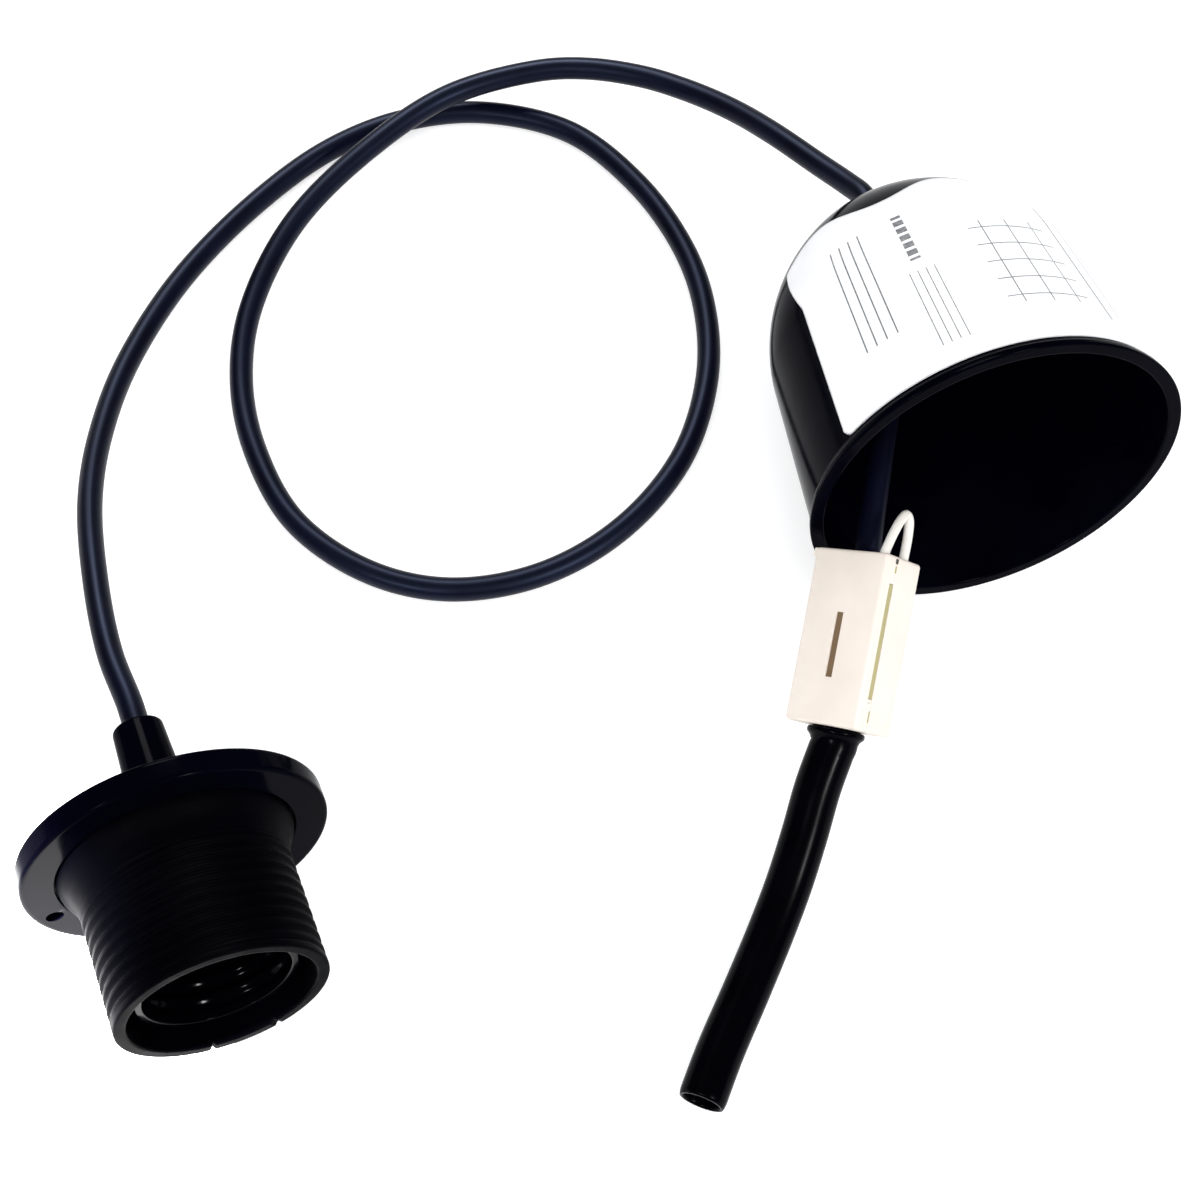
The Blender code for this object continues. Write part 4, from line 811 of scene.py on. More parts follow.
edge_share = np.clip(edge_near / LABEL_EDGE, 0.0, 1.0) * np.clip(label_share * LABEL_EDGE_RATE, 0.0, 1.0)
edge_share = edge_share * np.clip((1.0 - label_share) * LABEL_EDGE_RATE, 0.0, 1.0)
label_local = np.concatenate([
    label_side(LABEL_LIFT + LABEL_THICKNESS * edge_share), label_side(LABEL_LIFT)[:, ::-1],
], axis=1)
label_uv = np.stack([label_angle * LABEL_MEAN_RADIUS, label_height], axis=-1)
label_uv = np.concatenate([label_uv, label_uv[:, ::-1]], axis=1)
label_mesh = face_outward(surface(
    "label_sheet", placed(cup_frame, label_local), close_columns=True, uv=label_uv,
), merge=LABEL_MERGE)
print("label", round(math.degrees(LABEL_END - LABEL_START)), "degrees round the cup")

# %% [markdown]
# The print is a plain form: a few blocks of ruled lines, an empty table and a row of small boxes. Compare
# nodes say whether a point of the sheet lies within half a width of a line, so each mark is a product of
# two bands, and the largest of all marks sets how much ink there is. Under it, the paper has fibres.

# %% Paper label, the print
paper, tree, shader = new_finish("label_paper", 0.55)
label_place = node(tree, "ShaderNodeSeparateXYZ", Vector=node(tree, "ShaderNodeTexCoord").outputs["UV"])
label_u, label_v = label_place.outputs["X"], label_place.outputs["Y"]
MM = 0.001
FIBRE_SCALE = 1500.0
PAPER_CLOUD_SCALE = 90.0
COCKLE_SCALE = 160.0
COCKLE_DEPTH = 1.2e-4
FIBRE_DEPTH = 1.2e-5


def band(value, middle, half):
    """1 where a coordinate is within half a width of a middle, given in millimetres."""
    return arithmetic(tree, "COMPARE", value, middle * MM, half * MM)


def times(*factors):
    """Product of all factors: 1 only where each is 1."""
    made = factors[0]
    for factor in factors[1:]:
        made = arithmetic(tree, "MULTIPLY", made, factor)
    return made


def field(u, v, half_u, half_v):
    """1 inside a rectangle, given by its middle and its half sizes in millimetres."""
    return times(band(label_u, u, half_u), band(label_v, v, half_v))


def rules(value, pitch, width):
    """Lines at an even pitch: the distance to the nearest multiple of the pitch is under half a width."""
    step = arithmetic(tree, "PINGPONG", value, pitch * MM / 2)
    return arithmetic(tree, "LESS_THAN", step, width * MM / 2)


ink = [
    times(field(-22.0, 30.0, 4.6, 14.0), rules(label_u, 2.3, 0.30)),
    times(field(-9.5, 18.0, 3.4, 10.0), rules(label_u, 1.7, 0.22)),
    times(field(33.0, 27.0, 5.2, 15.0), rules(label_u, 2.6, 0.28)),
    times(
        field(12.0, 25.0, 9.0, 12.0),
        arithmetic(tree, "MAXIMUM", rules(label_u, 6.0, 0.26), rules(label_v, 5.0, 0.26)),
    ),
    times(band(label_u, -9.5, 1.1), band(label_v, 37.5, 6.6), rules(label_v, 2.2, 1.5)),
    field(24.6, 27.0, 0.22, 17.0),
]
marks = ink[0]
for more in ink[1:]:
    marks = arithmetic(tree, "MAXIMUM", marks, more)
paper_place = object_place(tree)
fibre = noise(tree, paper_place, FIBRE_SCALE, detail=4.0)
cloudy = noise(tree, paper_place, PAPER_CLOUD_SCALE)
bare_paper = blend_colour(tree, spread(tree, cloudy, 0.0, 1.0), (0.86, 0.86, 0.87), (0.92, 0.92, 0.92))
worn = spread(tree, fibre, 0.80, 0.97)
tree.links.new(
    blend_colour(tree, times(marks, worn), bare_paper, (0.045, 0.045, 0.055)), shader.inputs["Base Color"]
)
polish(tree, shader, fibre, 0.48, 0.66)
cockle = relief(tree, shader, noise(tree, paper_place, COCKLE_SCALE, detail=1.0), COCKLE_DEPTH)
relief(tree, shader, fibre, FIBRE_DEPTH, under=cockle)
add_piece("label_sheet", label_mesh, "cup", paper, ["paper_label"])

# %% [markdown]
# The terminal box has two moulded shells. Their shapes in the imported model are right, so each piece is a
# copy of its solid: doubled points are merged, the flat triangles of each face are joined, and a narrow
# bevel gives every edge the small radius that a mould leaves. The small metal parts inside are finished in
# the same way.

# %% Solids with softened edges
FLAT_ANGLE = math.radians(1.0)
BEVEL_ANGLE = math.radians(35.0)
BLOCK_EDGE = 0.00010
SHELL_EDGE = 0.00012
BAR_EDGE = 0.00015
SCREW_EDGE = 0.00006


def softened(name, solid, finish, edge):
    """Copy of a solid with joined flat faces and bevelled edges, on the solid's own body."""
    made = bmesh.new()
    made.from_mesh(frame["nodes"][solid].data)
    bmesh.ops.remove_doubles(made, verts=made.verts, dist=MERGE_DISTANCE)
    bmesh.ops.dissolve_limit(made, angle_limit=FLAT_ANGLE, verts=made.verts, edges=made.edges)
    mesh = bpy.data.meshes.new(name)
    made.to_mesh(mesh)
    made.free()
    if "custom_normal" in mesh.attributes:
        mesh.attributes.remove(mesh.attributes["custom_normal"])
    mesh.shade_smooth()
    piece = add_piece(name, mesh, frame["nodes"][solid]["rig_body"], finish, [solid])
    bevel = piece.modifiers.new("soft_edges", "BEVEL")
    bevel.width = edge
    bevel.segments = 2
    bevel.limit_method = "ANGLE"
    bevel.angle_limit = BEVEL_ANGLE
    bevel.harden_normals = True
    return piece


softened("box_base_shell", "connector_base", ivory_plastic, SHELL_EDGE)
softened("box_cover_shell", "connector_cover", ivory_plastic, SHELL_EDGE)
softened("clamp_bar", "cord_clamp", ivory_plastic, BAR_EDGE)
softened("block_moulding", "terminal_block", brown_block, BLOCK_EDGE)
for pole in ("live", "neutral"):
    softened(f"box_terminal_{pole}", f"terminal_{pole}", brass, SHELL_EDGE)
    softened(f"holder_post_{pole}", f"holder_terminal_{pole}", brass, BAR_EDGE)
    softened(f"post_screw_{pole}", f"holder_terminal_screw_{pole}", steel, SCREW_EDGE)
    for use in ("cord", "mains"):
        softened(f"box_screw_{pole}_{use}", f"terminal_screw_{pole}_{use}", steel, SCREW_EDGE)
for side in ("left", "right"):
    softened(f"clamp_screw_{side}", f"cord_clamp_screw_{side}", steel, SCREW_EDGE)
softened("grip_ring", "cord_grip", loop_nylon, SHELL_EDGE)

# %% [markdown]
# The seam on the box's right side shows a thin tongue of the base. Its ivory is darkened to a yellow-brown as
# painted shade of the seam gap, and a short mark of the same painted shade lies past each of its ends. A dark
# bar is painted shade of a pin hole near the loop. Past the tongue a narrow lip closes the seam, and the film
# hinge ends in a small ear on the other side. A brown strip fills the cover's slot, with the terminal block's
# brown and painted shade of the slot. Each is a rounded bar: a rounded rectangle carried along the box.

# %% Seam tongue, painted seam shade and slot strip
# Painted shade: a dark bar stands for the shade inside the pin hole in the seam.
painted_pin_hole_shade = moulded("pin_hole_painted_shade", (0.030, 0.020, 0.012), (0.055, 0.038, 0.024), (0.55, 0.70), 1e-5)
# Partly the terminal block's brown seen through the cover's slot, partly painted shade of the slot's walls.
slot_brown_and_shade = moulded(
    "slot_strip_brown_and_shade", (0.150, 0.090, 0.045), (0.215, 0.140, 0.080), (0.50, 0.65), 1e-5, shine=0.2,
)
SEAM_EDGE = 0.00012
EAR_EDGE = 0.00025
STRIP_EDGE = 0.00010


def rounded_bar(matrix, low, high, edge):
    """Rounded rectangle between two corners, carried along the frame's Y axis, with ends that draw in by the
    edge."""
    low, high = np.asarray(low, float), np.asarray(high, float)
    half_x, half_z = (high[0] - low[0]) / 2, (high[2] - low[2]) / 2
    corners = [(half_x, half_z), (-half_x, half_z), (-half_x, -half_z), (half_x, -half_z)]
    section = rounded([(x, z, edge) for x, z in corners], steps=4)
    draw = np.array([0.0, 0.3, 1.0]) * edge
    heights = np.concatenate([low[1] + draw, high[1] - draw[::-1]])
    middle = (low + high) / 2
    path = placed(matrix, [(middle[0], y, middle[2]) for y in heights])
    shrink = 1.0 - np.array([1.0, 0.3, 0.0, 0.0, 0.3, 1.0]) * edge / max(half_x, half_z)
    return carried(path, section, matrix[:3, 2], shrink)


def bar_piece(name, low, high, edge, finish, body="cord_set"):
    """A rounded bar in the box's own axes, as a named piece."""
    grid = rounded_bar(box_frame, low, high, edge)
    return add_piece(name, face_outward(surface(name, grid, close_columns=True)), body, finish)


box_side = BOX_WIDTH / 2
# The tongue and its two marks carry painted shade of the seam gap and its recesses, and the pin hole is
# painted shade of a hole.
# Rows: name, start and end along the box in metres, then in millimetres how deep and how far sunk in the
# side, and how low and how high from the seam
SEAM_BARS = [
    ("seam_tongue", -0.0108, 0.0116, 0.95, 0.10, -0.12, 1.21, painted_seam_shade, "ivory"),
    ("seam_mark_upper", 0.0139, 0.0153, 0.30, -0.03, -0.30, 0.34, painted_seam_shade, "ivory"),
    ("seam_mark_lower", -0.0154, -0.0131, 0.30, -0.03, -0.26, 0.28, painted_seam_shade, "ivory"),
    ("seam_pin_hole", 0.0157, 0.0167, 0.35, -0.04, -0.46, 0.50, painted_pin_hole_shade, "phenolic"),
    ("seam_lip_upper", 0.0117, 0.0170, 0.90, 0.06, -0.19, 0.19, ivory_plastic, "ivory"),
    ("seam_lip_lower", -0.0170, -0.0110, 0.90, 0.06, -0.19, 0.19, ivory_plastic, "ivory"),
    ("seam_stop", -0.0116, -0.0109, 0.95, 0.04, -0.12, 1.21, ivory_plastic, "ivory"),
]
for name, start, end, deep, sunk, low, high, finish, slot_name in SEAM_BARS:
    bar_piece(
        name, (box_side - deep * MM, start, SEAM + low * MM), (box_side - sunk * MM, end, SEAM + high * MM),
        SEAM_EDGE, finish,
    )
box_front = BOX_THICKNESS / 2
bar_piece(
    "hinge_ear", (-box_side - 0.00055, 0.0151, SEAM + 0.0009),
    (-box_side + 0.0006, 0.0171, box_front - 0.0002), EAR_EDGE, ivory_plastic, "cover",
)
# The slot strip shows the terminal block's brown with painted shade of the slot.
bar_piece(
    "slot_strip", (-0.00079, -0.00797, box_front - 0.0012), (0.00079, 0.00487, box_front - 0.00025),
    STRIP_EDGE, slot_brown_and_shade, "cover",
)

# %% [markdown]
# The hanging loop is a ring of stiff nylon cord. It passes round a peg inside the box, leaves through the
# slot in the end wall as two strands, and meets in a hairpin whose tip leans back. The hairpin follows one
# formula: the reach goes with a sine, and the spread between the strands with a cosine.

# %% Hanging loop
LOOP_STRAND = 0.0019
LOOP_X = 0.0059
LOOP_HALF = 0.0033
LOOP_MIDDLE_Z = 0.0001
LOOP_REACH = 0.0087
LOOP_LEAN = 0.0008
LOOP_SKEW = 1.35
LOOP_STEP = 0.0005
LOOP_SIDES = 24
PEG_FROM_END = 0.0066
PEG_RADIUS = 0.0016
BOX_WALL = 0.0013

peg_y = box_end - PEG_FROM_END - PEG_RADIUS - SEAT_GAP - LOOP_STRAND / 2
peg_turn = np.linspace(-math.pi / 2, math.pi / 2, 7)
hairpin = np.linspace(0.15, 0.85, 6)
loop_y = np.concatenate([
    peg_y + LOOP_HALF * (1 - np.cos(peg_turn)), [box_end - BOX_WALL, box_end + SEAT_GAP],
    box_end + SEAT_GAP + LOOP_REACH * np.sin(math.pi * hairpin ** LOOP_SKEW),
    [box_end + SEAT_GAP, box_end - BOX_WALL],
])
loop_z = np.concatenate([
    LOOP_HALF * np.sin(peg_turn), [LOOP_HALF, LOOP_HALF],
    LOOP_HALF * np.cos(math.pi * hairpin) - LOOP_LEAN * np.sin(math.pi * hairpin),
    [-LOOP_HALF, -LOOP_HALF],
])
loop_points = np.column_stack([np.full(len(loop_y), LOOP_X), loop_y, loop_z + LOOP_MIDDLE_Z])
loop_path = smooth_path(placed(box_frame, loop_points), LOOP_STEP, closed=True)
add_piece(
    "loop_strand", strand("loop_strand", loop_path, LOOP_STRAND, LOOP_SIDES, box_x, closed=True),
    "cord_set", loop_nylon, ["hanging_loop"],
)

# %% [markdown]
# Inside the box and inside the cap, the cord's two cores leave the sheath and spread to their terminals,
# brown to the live one and blue to the neutral one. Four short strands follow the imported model's routes.

# %% Insulated cores
CORE_DIAMETER = 0.0020
CORE_SPREAD = 0.0012
TERMINAL_X = 0.0030
BLOCK_WALL = 0.0009
WIRE_HEIGHT = 0.0017
WIRE_Z = -BOX_THICKNESS / 2 + BOX_WALL + BLOCK_WALL + 2 * SEAT_GAP + WIRE_HEIGHT
BLOCK_LENGTH = 0.0150
BLOCK_Y = -0.0025
BLOCK_END = BLOCK_Y + BLOCK_LENGTH / 2
WIRE_IN_BLOCK = 0.0018
POST_X = 0.0075
POST_HEIGHT = 0.0042
INSERT_THICKNESS = 0.0030
INSERT_FOOT = INSERT_FLOOR - INSERT_THICKNESS
POST_LOW = INSERT_FOOT - SEAT_GAP - POST_HEIGHT
WIRE_IN_POST = 0.0025
CORE_STEP = 0.0004
CORE_SIDES = 16


def core_route(first, ahead, turn, last):
    """Straight out of the sheath for half a diameter, then over to the terminal's own line."""
    first, turn, last = (np.asarray(v, float) for v in (first, turn, last))
    return [first, first + 0.5 * CORE_DIAMETER * np.asarray(ahead), turn, turn + 0.3 * (last - turn), last]


for side, pole, finish in ((-1, "live", live_insulation), (1, "neutral", neutral_insulation)):
    slot_name = "brown_core" if pole == "live" else "blue_core"
    in_box = core_route(
        (CORD_ENTRY[0] + side * CORE_SPREAD, CORD_END_IN_BOX - SEAT_GAP, CORD_ENTRY[1]), (0.0, -1.0, 0.0),
        (side * TERMINAL_X, BLOCK_END + CORE_DIAMETER, WIRE_Z),
        (side * TERMINAL_X, BLOCK_Y + WIRE_IN_BLOCK, WIRE_Z),
    )
    in_cap = core_route(
        (side * CORE_SPREAD, 0.0, -CORD_END_IN_CAP + SEAT_GAP), (0.0, 0.0, 1.0),
        (side * POST_X, 0.0, POST_LOW - CORE_DIAMETER), (side * POST_X, 0.0, POST_LOW + WIRE_IN_POST),
    )
    for where, matrix, route, upright in (
        ("connector", box_frame, in_box, box_z), ("holder", holder_frame, in_cap, holder_y),
    ):
        path = smooth_path(placed(matrix, route), CORE_STEP)
        name = f"core_strand_{pole}_{where}"
        add_piece(
            name, strand(name, path, CORE_DIAMETER, CORE_SIDES, upright),
            "cord_set", finish, [f"core_{pole}_{where}"],
        )

# %% [markdown]
# The lampholder's cap is turned as one piece: the flange that carries a shade, a low dome behind it and the
# collar for the cord. The flange has one small hole, which a round cutter takes out with a Boolean, because
# it stands off the axis and a spin can't make it.

# %% Lampholder cap
FLANGE_RADIUS = 0.0290
FLANGE_RIM = 0.0047
NECK_RADIUS = 0.0223
RECESS_DEPTH = 0.0020
DOME_FOOT_RADIUS = 0.0230
DOME_HEIGHT = 0.0070
DOME_WALL = 0.0022
COLLAR_BASE_RADIUS = 0.0058
COLLAR_TIP_RADIUS = 0.0049
COLLAR_BORE_RADIUS = 0.0038
COLLAR_LIP = 0.0020
CAVITY_RADIUS = 0.0160
CORD_BORE_GAP = 0.0005
CORD_BORE_RADIUS = CORD_DIAMETER / 2 + CORD_BORE_GAP
CAP_STEPS = 200


def quarter_dome(foot, tip, height, count=26):
    """Quarter of an ellipse from the dome's foot to the collar, going down from the flange's back."""
    angle = np.linspace(0.0, math.pi / 2, count)
    return np.column_stack([tip + (foot - tip) * np.cos(angle), -FLANGE_RIM - height * np.sin(angle)])


recess = NECK_RADIUS + SEAT_GAP
cap_outline = np.vstack([
    [(recess, 0.0, 0.0003), (FLANGE_RADIUS, 0.0, 0.0008), (FLANGE_RADIUS, -FLANGE_RIM, 0.0008)],
    plain(quarter_dome(DOME_FOOT_RADIUS, COLLAR_BASE_RADIUS, DOME_HEIGHT)),
    [(COLLAR_TIP_RADIUS, COLLAR_LOW, 0.0006), (CORD_BORE_RADIUS, COLLAR_LOW, 0.0004)],
    [(CORD_BORE_RADIUS, COLLAR_LOW + COLLAR_LIP, 0.0), (COLLAR_BORE_RADIUS, COLLAR_LOW + COLLAR_LIP, 0.0)],
    plain(quarter_dome(CAVITY_RADIUS, COLLAR_BORE_RADIUS, DOME_HEIGHT - DOME_WALL)[::-1]),
    [(CAVITY_RADIUS, -RECESS_DEPTH, 0.0), (recess, -RECESS_DEPTH, 0.0)],
])
cap = add_piece(
    "cap_shell", turned_shell("cap_shell", holder_frame, cap_outline, CAP_STEPS),
    "cord_set", gloss_black, ["holder_cap"],
)

# %% Hole in the flange
HOLE_RADIUS = 0.0017
HOLE_PLACE = 0.0255
HOLE_ANGLE = math.radians(193.0)
HOLE_SIDES = 40
CUTTER_HEIGHTS = (-0.0080, -0.0050, 0.0, 0.0030)
SHARP_ANGLE = math.radians(40.0)

hole_x, hole_y = HOLE_PLACE * math.cos(HOLE_ANGLE), HOLE_PLACE * math.sin(HOLE_ANGLE)
hole_path = placed(holder_frame, [(hole_x, hole_y, h) for h in CUTTER_HEIGHTS])
hole_grid = carried(hole_path, circle(HOLE_RADIUS, HOLE_SIDES), holder_y)
cutter_mesh = face_outward(surface("hole_cutter", hole_grid, close_columns=True))
cutter = bpy.data.objects.new("hole_cutter", cutter_mesh)
bpy.context.scene.collection.objects.link(cutter)
boolean = cap.modifiers.new("flange_hole", "BOOLEAN")
boolean.operation = "DIFFERENCE"
boolean.solver = "EXACT"
boolean.object = cutter
bpy.context.view_layer.update()
holed = bpy.data.meshes.new_from_object(cap.evaluated_get(bpy.context.evaluated_depsgraph_get()))
cap.modifiers.clear()
cap.data = holed
holed.set_sharp_from_angle(angle=SHARP_ANGLE)
bpy.data.objects.remove(cutter)
print("flange hole cut:", len(holed.vertices), "points")

# %% [markdown]
# The barrel carries the outer thread for a shade ring: about nine turns at a pitch of 2.5 mm. The thread is
# the turned outline with a radius that depends on the angle too. Height over pitch, less the share of a
# turn, says where on a ridge a point lies, and the ridge fades out near the neck and near the mouth. Two
# small notches lower the edge of the mouth.

# %% Lampholder barrel with its outer thread
BARREL_RADIUS = 0.0198
BARREL_INSIDE = 0.0174
BARREL_LENGTH = 0.0306
BARREL_PITCH = 0.0025
BARREL_THREAD_DEPTH = 0.0007
THREAD_LOW = 0.0066
THREAD_HIGH = 0.0294
THREAD_ROWS = 150
THREAD_START = 0.0016
THREAD_RUN_OUT = 0.0012
RIDGE_FROM = 0.18
RIDGE_RISE = 0.64
NECK_LENGTH = 0.0062
NECK_BEND_RADIUS = 0.0204
NECK_BEND_HEIGHT = 0.0038
NECK_FOOT_HEIGHT = 0.0006
INSERT_LEDGE = 0.0018
BARREL_STEPS = 240
NOTCH_ANGLES = np.radians([-106.5, -68.0])
NOTCH_WIDTH = math.radians(1.1)
NOTCH_REACH = 1.5
NOTCH_DEPTH = 0.0007
MOUTH_EDGE = 0.0010
MOUTH_FADE = 0.0008
SAME_RADIUS = 1e-6


def smooth(share):
    """Smooth step from 0 to 1."""
    share = np.clip(share, 0.0, 1.0)
    return share * share * (3.0 - 2.0 * share)


def thread_wave(height, steps, pitch):
    """1 on the crest of a right-handed thread and 0 in its groove."""
    turn = np.arange(steps)[None, :] / steps
    return 0.5 + 0.5 * np.cos(2 * math.pi * (np.asarray(height)[:, None] / pitch - turn))


barrel_foot = -RECESS_DEPTH + SEAT_GAP
ledge_radius = BARREL_INSIDE - INSERT_LEDGE
ledge_height = INSERT_FOOT - SEAT_GAP
thread_rows = np.linspace(THREAD_HIGH, THREAD_LOW, THREAD_ROWS)
barrel_outline = rounded(np.vstack([
    [(BARREL_INSIDE, BARREL_LENGTH, 0.0005), (BARREL_RADIUS, BARREL_LENGTH, 0.0006)],
    plain(np.column_stack([np.full(len(thread_rows), BARREL_RADIUS), thread_rows])),
    [(BARREL_RADIUS, NECK_LENGTH, 0.0002), (NECK_BEND_RADIUS, NECK_BEND_HEIGHT, 0.0009)],
    [(NECK_RADIUS, NECK_FOOT_HEIGHT, 0.0010), (NECK_RADIUS, barrel_foot, 0.0003)],
    [(ledge_radius, barrel_foot, 0.0003), (ledge_radius, ledge_height, 0.0002)],
    [(BARREL_INSIDE, ledge_height, 0.0002)],
]))
radius, height = barrel_outline.T
on_thread = np.abs(radius - BARREL_RADIUS) < SAME_RADIUS
fade = smooth((height - THREAD_LOW) / THREAD_START) * smooth((THREAD_HIGH - height) / THREAD_RUN_OUT)
fade = fade * on_thread
ridge = smooth((thread_wave(height, BARREL_STEPS, BARREL_PITCH) - RIDGE_FROM) / RIDGE_RISE)
barrel_radius = radius[:, None] - BARREL_THREAD_DEPTH * (1.0 - ridge) * fade[:, None]
barrel_angle = np.arange(BARREL_STEPS) * 2 * math.pi / BARREL_STEPS
away = (barrel_angle[None, :] - NOTCH_ANGLES[:, None] + math.pi) % (2 * math.pi) - math.pi
notch = smooth(NOTCH_REACH - np.abs(away).min(axis=0) / NOTCH_WIDTH)
at_mouth = smooth((height - (BARREL_LENGTH - MOUTH_EDGE)) / MOUTH_FADE)
barrel_height = height[:, None] - NOTCH_DEPTH * at_mouth[:, None] * notch[None, :]
barrel_mesh = face_outward(surface(
    "barrel_shell", turned(holder_frame, barrel_radius, barrel_height, BARREL_STEPS), close_rows=True,
    close_columns=True,
))
add_piece("barrel_shell", barrel_mesh, "cord_set", barrel_black, ["holder_barrel"])

# %% [markdown]
# Inside the barrel sits the socket insert, whose wall takes the lamp's screw cap. A lamp thread is a soft
# wave with a pitch of 3.6 mm, so here the radius goes with a plain cosine of the same phase.

# %% Socket insert with its lamp thread
SOCKET_RADIUS = 0.0137
SOCKET_OUTSIDE = 0.0154
SOCKET_END = 0.0270
LAMP_PITCH = 0.00362
LAMP_WAVE = 0.00042
LAMP_FROM = 0.0016
LAMP_START = 0.0030
LAMP_TO = 0.0008
LAMP_RUN_OUT = 0.0016
LAMP_ROWS = 110
INSERT_STEPS = 160
INSERT_STEP_HEIGHT = 0.0006
FLOOR_RING = 0.0068

insert_side = BARREL_INSIDE - SEAT_GAP
lamp_low = INSERT_FLOOR + LAMP_FROM
lamp_high = SOCKET_END - LAMP_TO
lamp_rows = np.linspace(lamp_low, lamp_high, LAMP_ROWS)
insert_outline = rounded(np.vstack([
    [(0.0, INSERT_FLOOR, 0.0), (FLOOR_RING, INSERT_FLOOR, 0.0), (SOCKET_RADIUS, INSERT_FLOOR, 0.0006)],
    plain(np.column_stack([np.full(len(lamp_rows), SOCKET_RADIUS), lamp_rows])),
    [(SOCKET_RADIUS, SOCKET_END, 0.0004), (SOCKET_OUTSIDE, SOCKET_END, 0.0005)],
    [(SOCKET_OUTSIDE, INSERT_FLOOR + INSERT_STEP_HEIGHT, 0.0003), (insert_side, INSERT_FLOOR, 0.0002)],
    [(insert_side, INSERT_FOOT, 0.0003), (0.0, INSERT_FOOT, 0.0)],
]))
radius, height = insert_outline.T
lamp_fade = smooth((height - lamp_low) / LAMP_START) * smooth((lamp_high - height) / LAMP_RUN_OUT)
lamp_fade = lamp_fade * (np.abs(radius - SOCKET_RADIUS) < SAME_RADIUS)
lamp_wave = 2.0 * thread_wave(height, INSERT_STEPS, LAMP_PITCH) - 1.0
insert_radius = radius[:, None] + LAMP_WAVE * lamp_wave * lamp_fade[:, None]
insert_mesh = face_outward(surface(
    "socket_shell", turned(holder_frame, insert_radius, height, INSERT_STEPS), close_columns=True,
))
add_piece("socket_shell", insert_mesh, "cord_set", socket_black, ["socket_insert"])

# %% [markdown]
# Two sprung leaves of brass touch the lamp: one rises to the middle of the socket, the other stands at its
# wall. A leaf is a flat section with rounded edges, carried along a bent line whose corners become arcs.

# %% Contact leaves
CONTACT_THICKNESS = 0.0006
CONTACT_WIDTH = 0.0050
CONTACT_EDGE = 0.0002
SIDE_CONTACT_GAP = 0.0016
SIDE_CONTACT_X = SOCKET_RADIUS - SIDE_CONTACT_GAP


def leaf(name, start_x, line, node_name, body):
    """Bent line (x, z, arc) from a start on the insert's floor, with a rounded rectangle carried along it."""
    bent = rounded([(x + start_x, z + CONTACT_FLOOR, arc) for x, z, arc in line], steps=9)
    path = placed(holder_frame, np.column_stack([bent[:, 0], np.zeros(len(bent)), bent[:, 1]]))
    half_w, half_t = CONTACT_WIDTH / 2, CONTACT_THICKNESS / 2
    corners = [(half_t, half_w), (-half_t, half_w), (-half_t, -half_w), (half_t, -half_w)]
    section = rounded([(a, b, CONTACT_EDGE) for a, b in corners], steps=4)
    mesh = face_outward(surface(name, carried(path, section, holder_y), close_columns=True))
    return add_piece(name, mesh, body, brass, [node_name])


middle = CONTACT_THICKNESS / 2
leaf("centre_leaf_spring", -CONTACT_REACH, [
    (-0.0010, middle, 0.0), (0.0010, middle, 0.0008), (0.0076, 0.0040, 0.0009), (0.0094, 0.0040, 0.0007),
    (0.0112, 0.0026, 0.0),
], "centre_contact", "centre_leaf")
leaf("side_leaf_spring", SIDE_CONTACT_X, [
    (-0.0040, middle, 0.0), (-0.0010, middle, 0.0), (0.0, middle + 0.0010, 0.0005), (0.0, 0.0069, 0.0010),
    (-0.0011, 0.0096, 0.0),
], "side_contact", "side_leaf")

# %% [markdown]
# The table is a wide pale sheet with some light of its own, which lifts the shadows. One broad panel in
# front and above lights the set, with an even surround. Neither shows in the black plastic. The highlights
# come from three small cards that light nothing else, in front at the right and at the left, and behind the
# table. A narrow spot brightens the table to the left of the lampholder, and the flange mirrors that bright
# patch.

# %% Table and studio light
TABLE_HALF = 2.5
TABLE_CELLS = 8
TABLE_DROP = 0.0002
TABLE_CLOUD_SCALE = 3.0

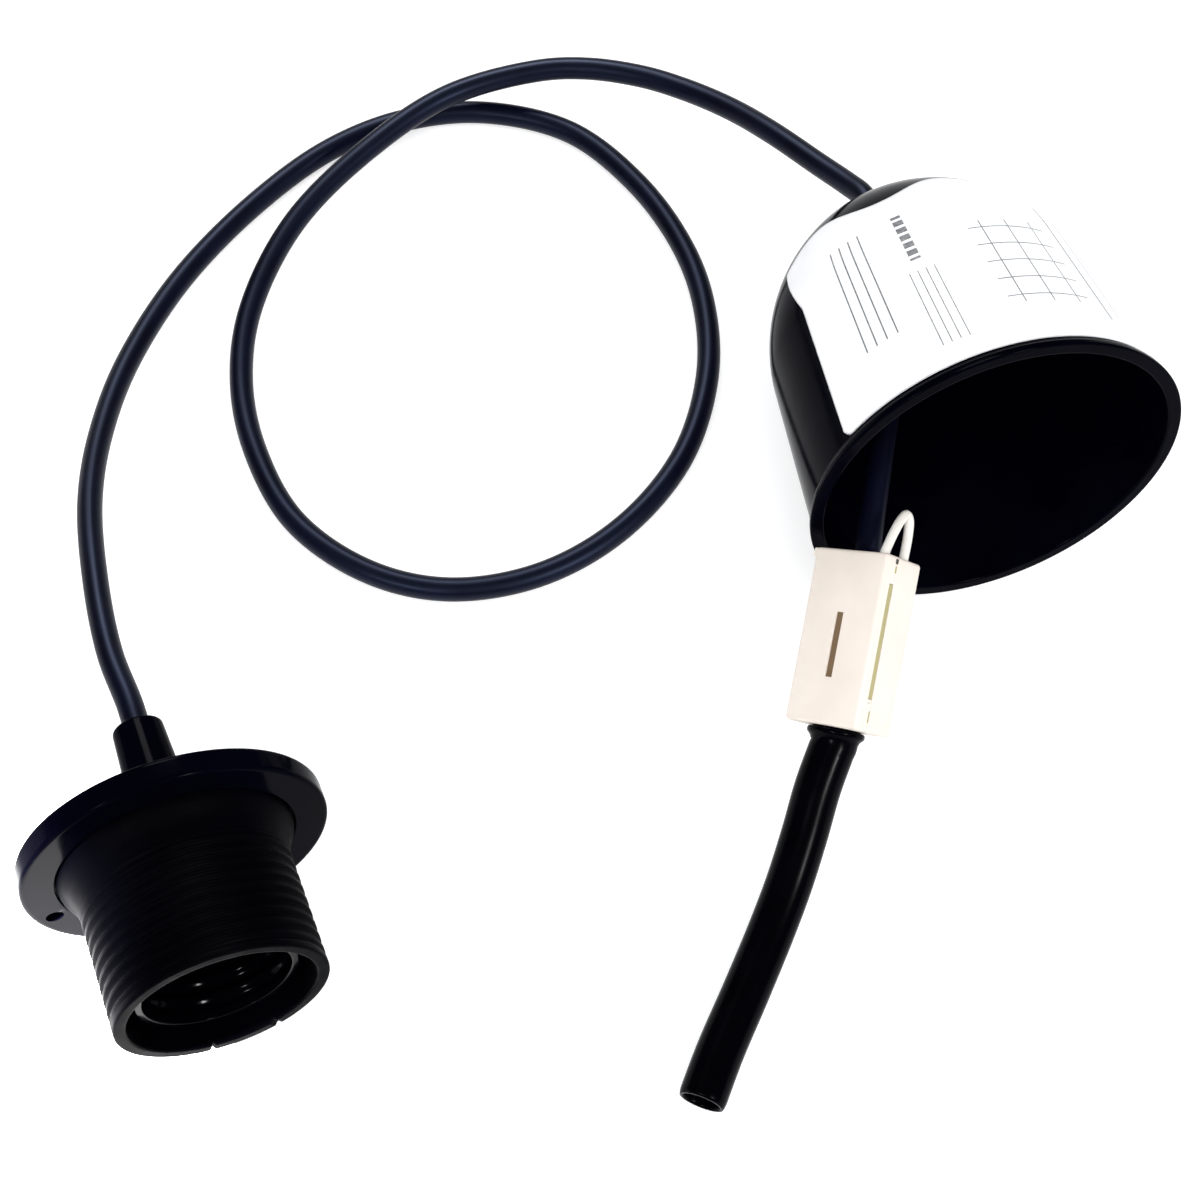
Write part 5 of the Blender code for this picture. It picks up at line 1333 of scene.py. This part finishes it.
floor_paint, tree, shader = new_finish("pale_table", 0.85)
floor_cloud = noise(tree, object_place(tree), TABLE_CLOUD_SCALE)
paint(tree, shader, floor_cloud, (0.62, 0.62, 0.62), (0.64, 0.64, 0.64))
shader.inputs["Specular IOR Level"].default_value = 0.1
shader.inputs["Emission Color"].default_value = (1.0, 1.0, 1.0, 1.0)
shader.inputs["Emission Strength"].default_value = 0.60
floor_line = np.linspace(-TABLE_HALF, TABLE_HALF, TABLE_CELLS + 1)
floor_x, floor_y = np.meshgrid(floor_line, floor_line, indexing="ij")
floor_mesh = surface("pale_table", np.stack([floor_x, floor_y, np.full_like(floor_x, -TABLE_DROP)], axis=-1))
floor_mesh.flip_normals()
floor_mesh.materials.append(floor_paint)
floor = bpy.data.objects.new("pale_table", floor_mesh)
bpy.context.scene.collection.objects.link(floor)


def aimed(name, light, place, aim):
    """Puts a light at a place and turns it to look at a point."""
    lamp = bpy.data.objects.new(name, light)
    lamp.location = place
    lamp.rotation_euler = (Vector(aim) - Vector(place)).to_track_quat("-Z", "Y").to_euler()
    bpy.context.scene.collection.objects.link(lamp)
    return lamp


def panel(name, place, size, watts):
    """A square soft panel that looks at the middle of the set."""
    light = bpy.data.lights.new(name, "AREA")
    light.shape = "SQUARE"
    light.size = size
    light.energy = watts
    return aimed(name, light, place, (0.0, 0.0, 0.0))


# Panels and cards: name, place, size in metres, power in watts
key = panel("key_panel", (0.15, -0.60, 1.25), 1.3, 15.0)
key.visible_glossy = False
for name, place, size, watts in (
    ("front_card", (0.50, -0.92, 0.87), 0.12, 12.0), ("left_card", (-0.70, -0.68, 0.91), 0.12, 6.0),
    ("back_card", (0.05, 1.00, 0.92), 0.45, 14.0),
):
    card = panel(name, place, size, watts)
    card.visible_diffuse = False
spot = bpy.data.lights.new("table_spot", "SPOT")
spot.energy = 72.0
spot.spot_size = math.radians(22.0)
spot.spot_blend = 1.0
spot.shadow_soft_size = 0.01
table_spot = aimed("table_spot", spot, (-0.26, -0.07, 0.26), (-0.128, -0.052, 0.0))
table_spot.visible_glossy = False
world = bpy.data.worlds.new("studio_surround")
world.use_nodes = True
surround = world.node_tree.nodes["Background"]
surround.inputs["Color"].default_value = (0.95, 0.97, 1.0, 1.0)
surround.inputs["Strength"].default_value = 0.90
world.cycles_visibility.glossy = False
bpy.context.scene.world = world
bpy.context.scene.view_settings.view_transform = "Standard"
